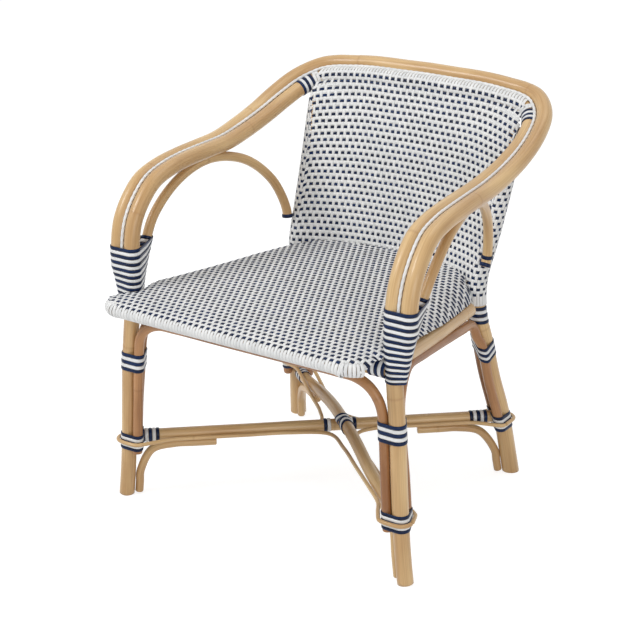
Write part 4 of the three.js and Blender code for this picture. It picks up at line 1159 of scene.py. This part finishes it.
# Back surface: a bowed panel that turns round the posts at its sides and over the upper pole
PANEL_COLUMNS = 34  # warps from the middle to a post, and then round it
WRAP_COLUMNS = 12
LAST_COLUMN = PANEL_COLUMNS + WRAP_COLUMNS
WRAP_RADIUS = POST + 2.0
WRAP_START = math.radians(-112)
WRAP_SHIFT = math.radians(45)  # the turn round the post starts further round it at its top
BAND_RADIUS = HOOP + 2.2
BACK_BOTTOM = 428
BACK_BOTTOM_Y = 203
BOW = 2.1
TOP_POST = 712
TOP_HALF = 240  # half width of the weave at the upper pole
TOP_ANGLE = math.radians(198)  # where the panel comes to the upper pole, and then turns over it
TOP_END = math.radians(-30)  # where that turn ends, under the pole's back
TOP_BEND = 3  # powers of the height by which the panel meets the upper pole, more so at its edges
TOP_BEND_EDGE = 60
EDGE_POWER = 8
BACK_STEP = (0.15, 0.004)  # for the surface's directions: warps and a share of the height
inner_line = back_pole.table[back_pole.table[:, 0] >= 0]
inner_line = inner_line[np.argsort(inner_line[:, 0])]


def post_at(z):
    table = post["right"].table
    return np.interp(z, table[:, 2], table[:, 0]), np.interp(z, table[:, 2], table[:, 1])


def post_front(z):
    """Where the panel meets the right post, at a height."""
    x, y = post_at(z)
    return x + WRAP_RADIUS * math.cos(WRAP_START), y + WRAP_RADIUS * math.sin(WRAP_START)


def upper_pole_at(x):
    return (np.interp(x, inner_line[:, 0], inner_line[:, k]) for k in (1, 2))


def over_pole(x, angle):
    """Y and Z of a strand on the upper pole, at an angle round it."""
    y, z = upper_pole_at(x)
    return y + BAND_RADIUS * np.cos(angle), z + BAND_RADIUS * np.sin(angle)


top_middle_y, top_middle_z = over_pole(0, TOP_ANGLE)
back_height = math.hypot(top_middle_y - BACK_BOTTOM_Y, top_middle_z - BACK_BOTTOM)


def bowed(z, share, edge_y):
    """How far back the panel lies at a height, at a share of the way to its edge."""
    up = (z - BACK_BOTTOM) / (top_middle_z - BACK_BOTTOM)
    middle_y = BACK_BOTTOM_Y + (top_middle_y - BACK_BOTTOM_Y) * up
    return middle_y + (edge_y - middle_y) * np.minimum(share, 1) ** BOW


def back_surface(column, rise):
    """Point of the back's surface: column counts warps from the middle, rise is a share of its height."""
    size = np.abs(column)
    share = np.minimum(size / PANEL_COLUMNS, 1)
    up = np.clip(rise, 0, 1)
    top_x = share * TOP_HALF
    top_y, top_z = over_pole(top_x, TOP_ANGLE)
    z = BACK_BOTTOM + (top_z - BACK_BOTTOM) * np.minimum(rise, 1)
    edge_x, edge_y = post_front(z)
    end_x, end_y = post_front(top_z)
    x = share * edge_x + (top_x - share * end_x) * up**TOP_BEND
    short = top_y - bowed(top_z, top_x / end_x, end_y)
    y = bowed(z, x / edge_x, edge_y) + short * up ** (TOP_BEND + TOP_BEND_EDGE * share**EDGE_POWER)
    turned = TOP_ANGLE - (rise - 1) * back_height / BAND_RADIUS
    panel = np.stack([x, y, z], -1)
    over = np.stack([top_x, *over_pole(top_x, turned)], -1)
    post_z = BACK_BOTTOM + (TOP_POST - BACK_BOTTOM) * rise
    post_x, post_y = post_at(post_z)
    angle = WRAP_START + np.maximum(size - PANEL_COLUMNS, 0) * PITCH / WRAP_RADIUS
    angle = angle + WRAP_SHIFT * up**TOP_BEND
    wrapped = np.stack([
        post_x + WRAP_RADIUS * np.cos(angle), post_y + WRAP_RADIUS * np.sin(angle), post_z], -1)
    spot = np.where((rise > 1)[..., None], over, panel)
    spot = np.where((size > PANEL_COLUMNS)[..., None], wrapped, spot)
    spot[..., 0] *= np.where(column < 0, -1.0, 1.0)
    return spot


def back_outward(column, rise):
    aside, above = BACK_STEP
    across = back_surface(column + aside, rise) - back_surface(column - aside, rise)
    along = back_surface(column, rise + above) - back_surface(column, rise - above)
    return unit(np.cross(across, along))


BACK_PITCH = PITCH * 0.99
back_rows = int(back_height / BACK_PITCH)
row_rise = 1 / back_rows
TOP_ROWS = 3  # rows that lie over the front of the upper pole
TOP_REACH = (TOP_ANGLE - TOP_END) * BAND_RADIUS / PITCH  # in rows, for the warps
LOW_ROW = -6  # the lowest row round the posts, and where the warps end below it
POST_FOOT_ROW = -9.6
POST_SHORT = 2  # rows that the turns round the posts leave out at the top
END_PIECE = 0.4  # how far a weft runs past its last warp, in columns
BARE_MARGIN = 3
BARE_STRIP = PITCH + 0.4
back_piece = Piece("woven_back_white", WEAVE, "white_weave", "woven_back")
back_navy = Piece("woven_back_navy", NAVY, "navy_cane")
for column in range(-LAST_COLUMN, LAST_COLUMN + 1):
    on_post = abs(column) > PANEL_COLUMNS - 1
    low_row = POST_FOOT_ROW if on_post else -1
    high_row = back_rows - POST_SHORT if on_post else back_rows + TOP_REACH
    rows = np.arange(low_row, high_row + 0.25, 0.5)
    columns = np.full(len(rows), float(column))
    normal = back_outward(columns, rows * row_rise)
    plain = (rows < LOW_ROW) | (rows > back_rows + TOP_ROWS)
    wave = np.where(plain, PLAIN, warp_wave(column, rows - 0.5)) * WAVE
    line = back_surface(columns, rows * row_rise) + normal * wave[:, None]
    ribbon(back_piece, line, normal, np.where(plain, PITCH, WARP_WIDTH))
for row in range(LOW_ROW, back_rows + TOP_ROWS):
    reach = END_PIECE + (LAST_COLUMN if row < back_rows - POST_SHORT else PANEL_COLUMNS)
    spans = [(-reach, reach)]
    if row < 0:
        spans = [(PANEL_COLUMNS - 1, reach), (-reach, 1 - PANEL_COLUMNS)]
    for first, final in spans:
        columns = np.arange(math.ceil(first * 2), math.floor(final * 2) + 1) / 2
        rise = np.full(len(columns), (row + 0.5) * row_rise)
        normal = back_outward(columns, rise)
        line = back_surface(columns, rise) + normal * (weft_wave(row, columns) * WAVE)[:, None]
        ribbon(back_navy if row % 2 == 0 else back_piece, line, normal, WEFT_WIDTH)
# The upper pole's ends, from the weave to the corner bindings, are wound plainly
runs = back_pole.even(PITCH)
bare = runs[np.abs(back_pole.at_run(runs)[:, 0]) > TOP_HALF - BARE_MARGIN]
tube_rings(back_piece, back_pole, HOOP, bare, BARE_STRIP)
back_piece.make()
back_navy.make()


# Stage: a floor and a world that are white where they are seen, and softer as a light
def seen_by(nodes, links, first, *others):
    """1 where one of the named rays meets the surface, else 0."""
    path = nodes.new("ShaderNodeLightPath")
    seen = path.outputs[first]
    for name in others:
        seen = add_math(nodes, links, "MAXIMUM", seen, path.outputs[name])
    return seen


def blend(nodes, links, kind, share, soft, bright):
    """The output, between a soft shader and a bright one."""
    shader = nodes.new("ShaderNodeMixShader")
    out = nodes.new(kind)
    links.new(share, shader.inputs["Fac"])
    links.new(soft.outputs[0], shader.inputs[1])
    links.new(bright.outputs[0], shader.inputs[2])
    links.new(shader.outputs[0], out.inputs["Surface"])


FLOOR_HALF = 8.0  # metres, as in the next line
FLOOR_DROP = 0.0005
FLOOR_COLOUR = (0.85, 0.85, 0.85, 1)
FLOOR_GLOW = 1.62
FLOOR_GLOW_SHARE = 0.5
WORLD_SOFT = 0.5
FULL_COLOUR = (*FULL, 1)
floor_corners = [
    (x * FLOOR_HALF, y * FLOOR_HALF, -FLOOR_DROP) for x, y in ((-1, -1), (1, -1), (1, 1), (-1, 1))]
floor_mesh = bpy.data.meshes.new("floor")
floor_mesh.from_pydata(floor_corners, [], [(0, 1, 2, 3)])
floor = bpy.data.objects.new("floor", floor_mesh)
bpy.context.scene.collection.objects.link(floor)
material, nodes, links = new_material("floor")
seen = seen_by(nodes, links, "Is Camera Ray", "Is Glossy Ray")
seen = add_math(nodes, links, "MULTIPLY", seen, FLOOR_GLOW_SHARE)
diffuse = add_node(nodes, "ShaderNodeBsdfDiffuse", Color=FLOOR_COLOUR)
glow = add_node(nodes, "ShaderNodeEmission", Color=FULL_COLOUR, Strength=FLOOR_GLOW)
blend(nodes, links, "ShaderNodeOutputMaterial", seen, diffuse, glow)
floor_mesh.materials.append(material)

world = bpy.data.worlds.new("world")
bpy.context.scene.world = world
world.use_nodes = True
nodes, links = world.node_tree.nodes, world.node_tree.links
nodes.clear()
seen = seen_by(nodes, links, "Is Camera Ray", "Is Glossy Ray", "Is Transmission Ray")
soft = add_node(nodes, "ShaderNodeBackground", Color=FULL_COLOUR, Strength=WORLD_SOFT)
bright = add_node(nodes, "ShaderNodeBackground", Color=FULL_COLOUR, Strength=1)
blend(nodes, links, "ShaderNodeOutputWorld", seen, soft, bright)

LIGHT_AIM = (0, 0, 0.4)


def area_light(name, place, size, power):
    """A round light that looks at the chair, in metres and watts."""
    data = bpy.data.lights.new(name, "AREA")
    data.shape = "DISK"
    data.size = size
    data.energy = power
    lamp = bpy.data.objects.new(name, data)
    lamp.location = place
    x, y, z = np.array(LIGHT_AIM) - place
    lamp.rotation_euler = (math.atan2(math.hypot(x, y), -z), 0, math.atan2(y, x) - math.pi / 2)
    bpy.context.scene.collection.objects.link(lamp)


area_light("key", (-1.7, -2.2, 3.0), 1.2, 54)
area_light("fill", (2.6, -2.2, 1.3), 1.6, 24)
area_light("top", (0.4, 0.6, 3.2), 2.0, 14)
bpy.context.scene.view_settings.view_transform = "Standard"
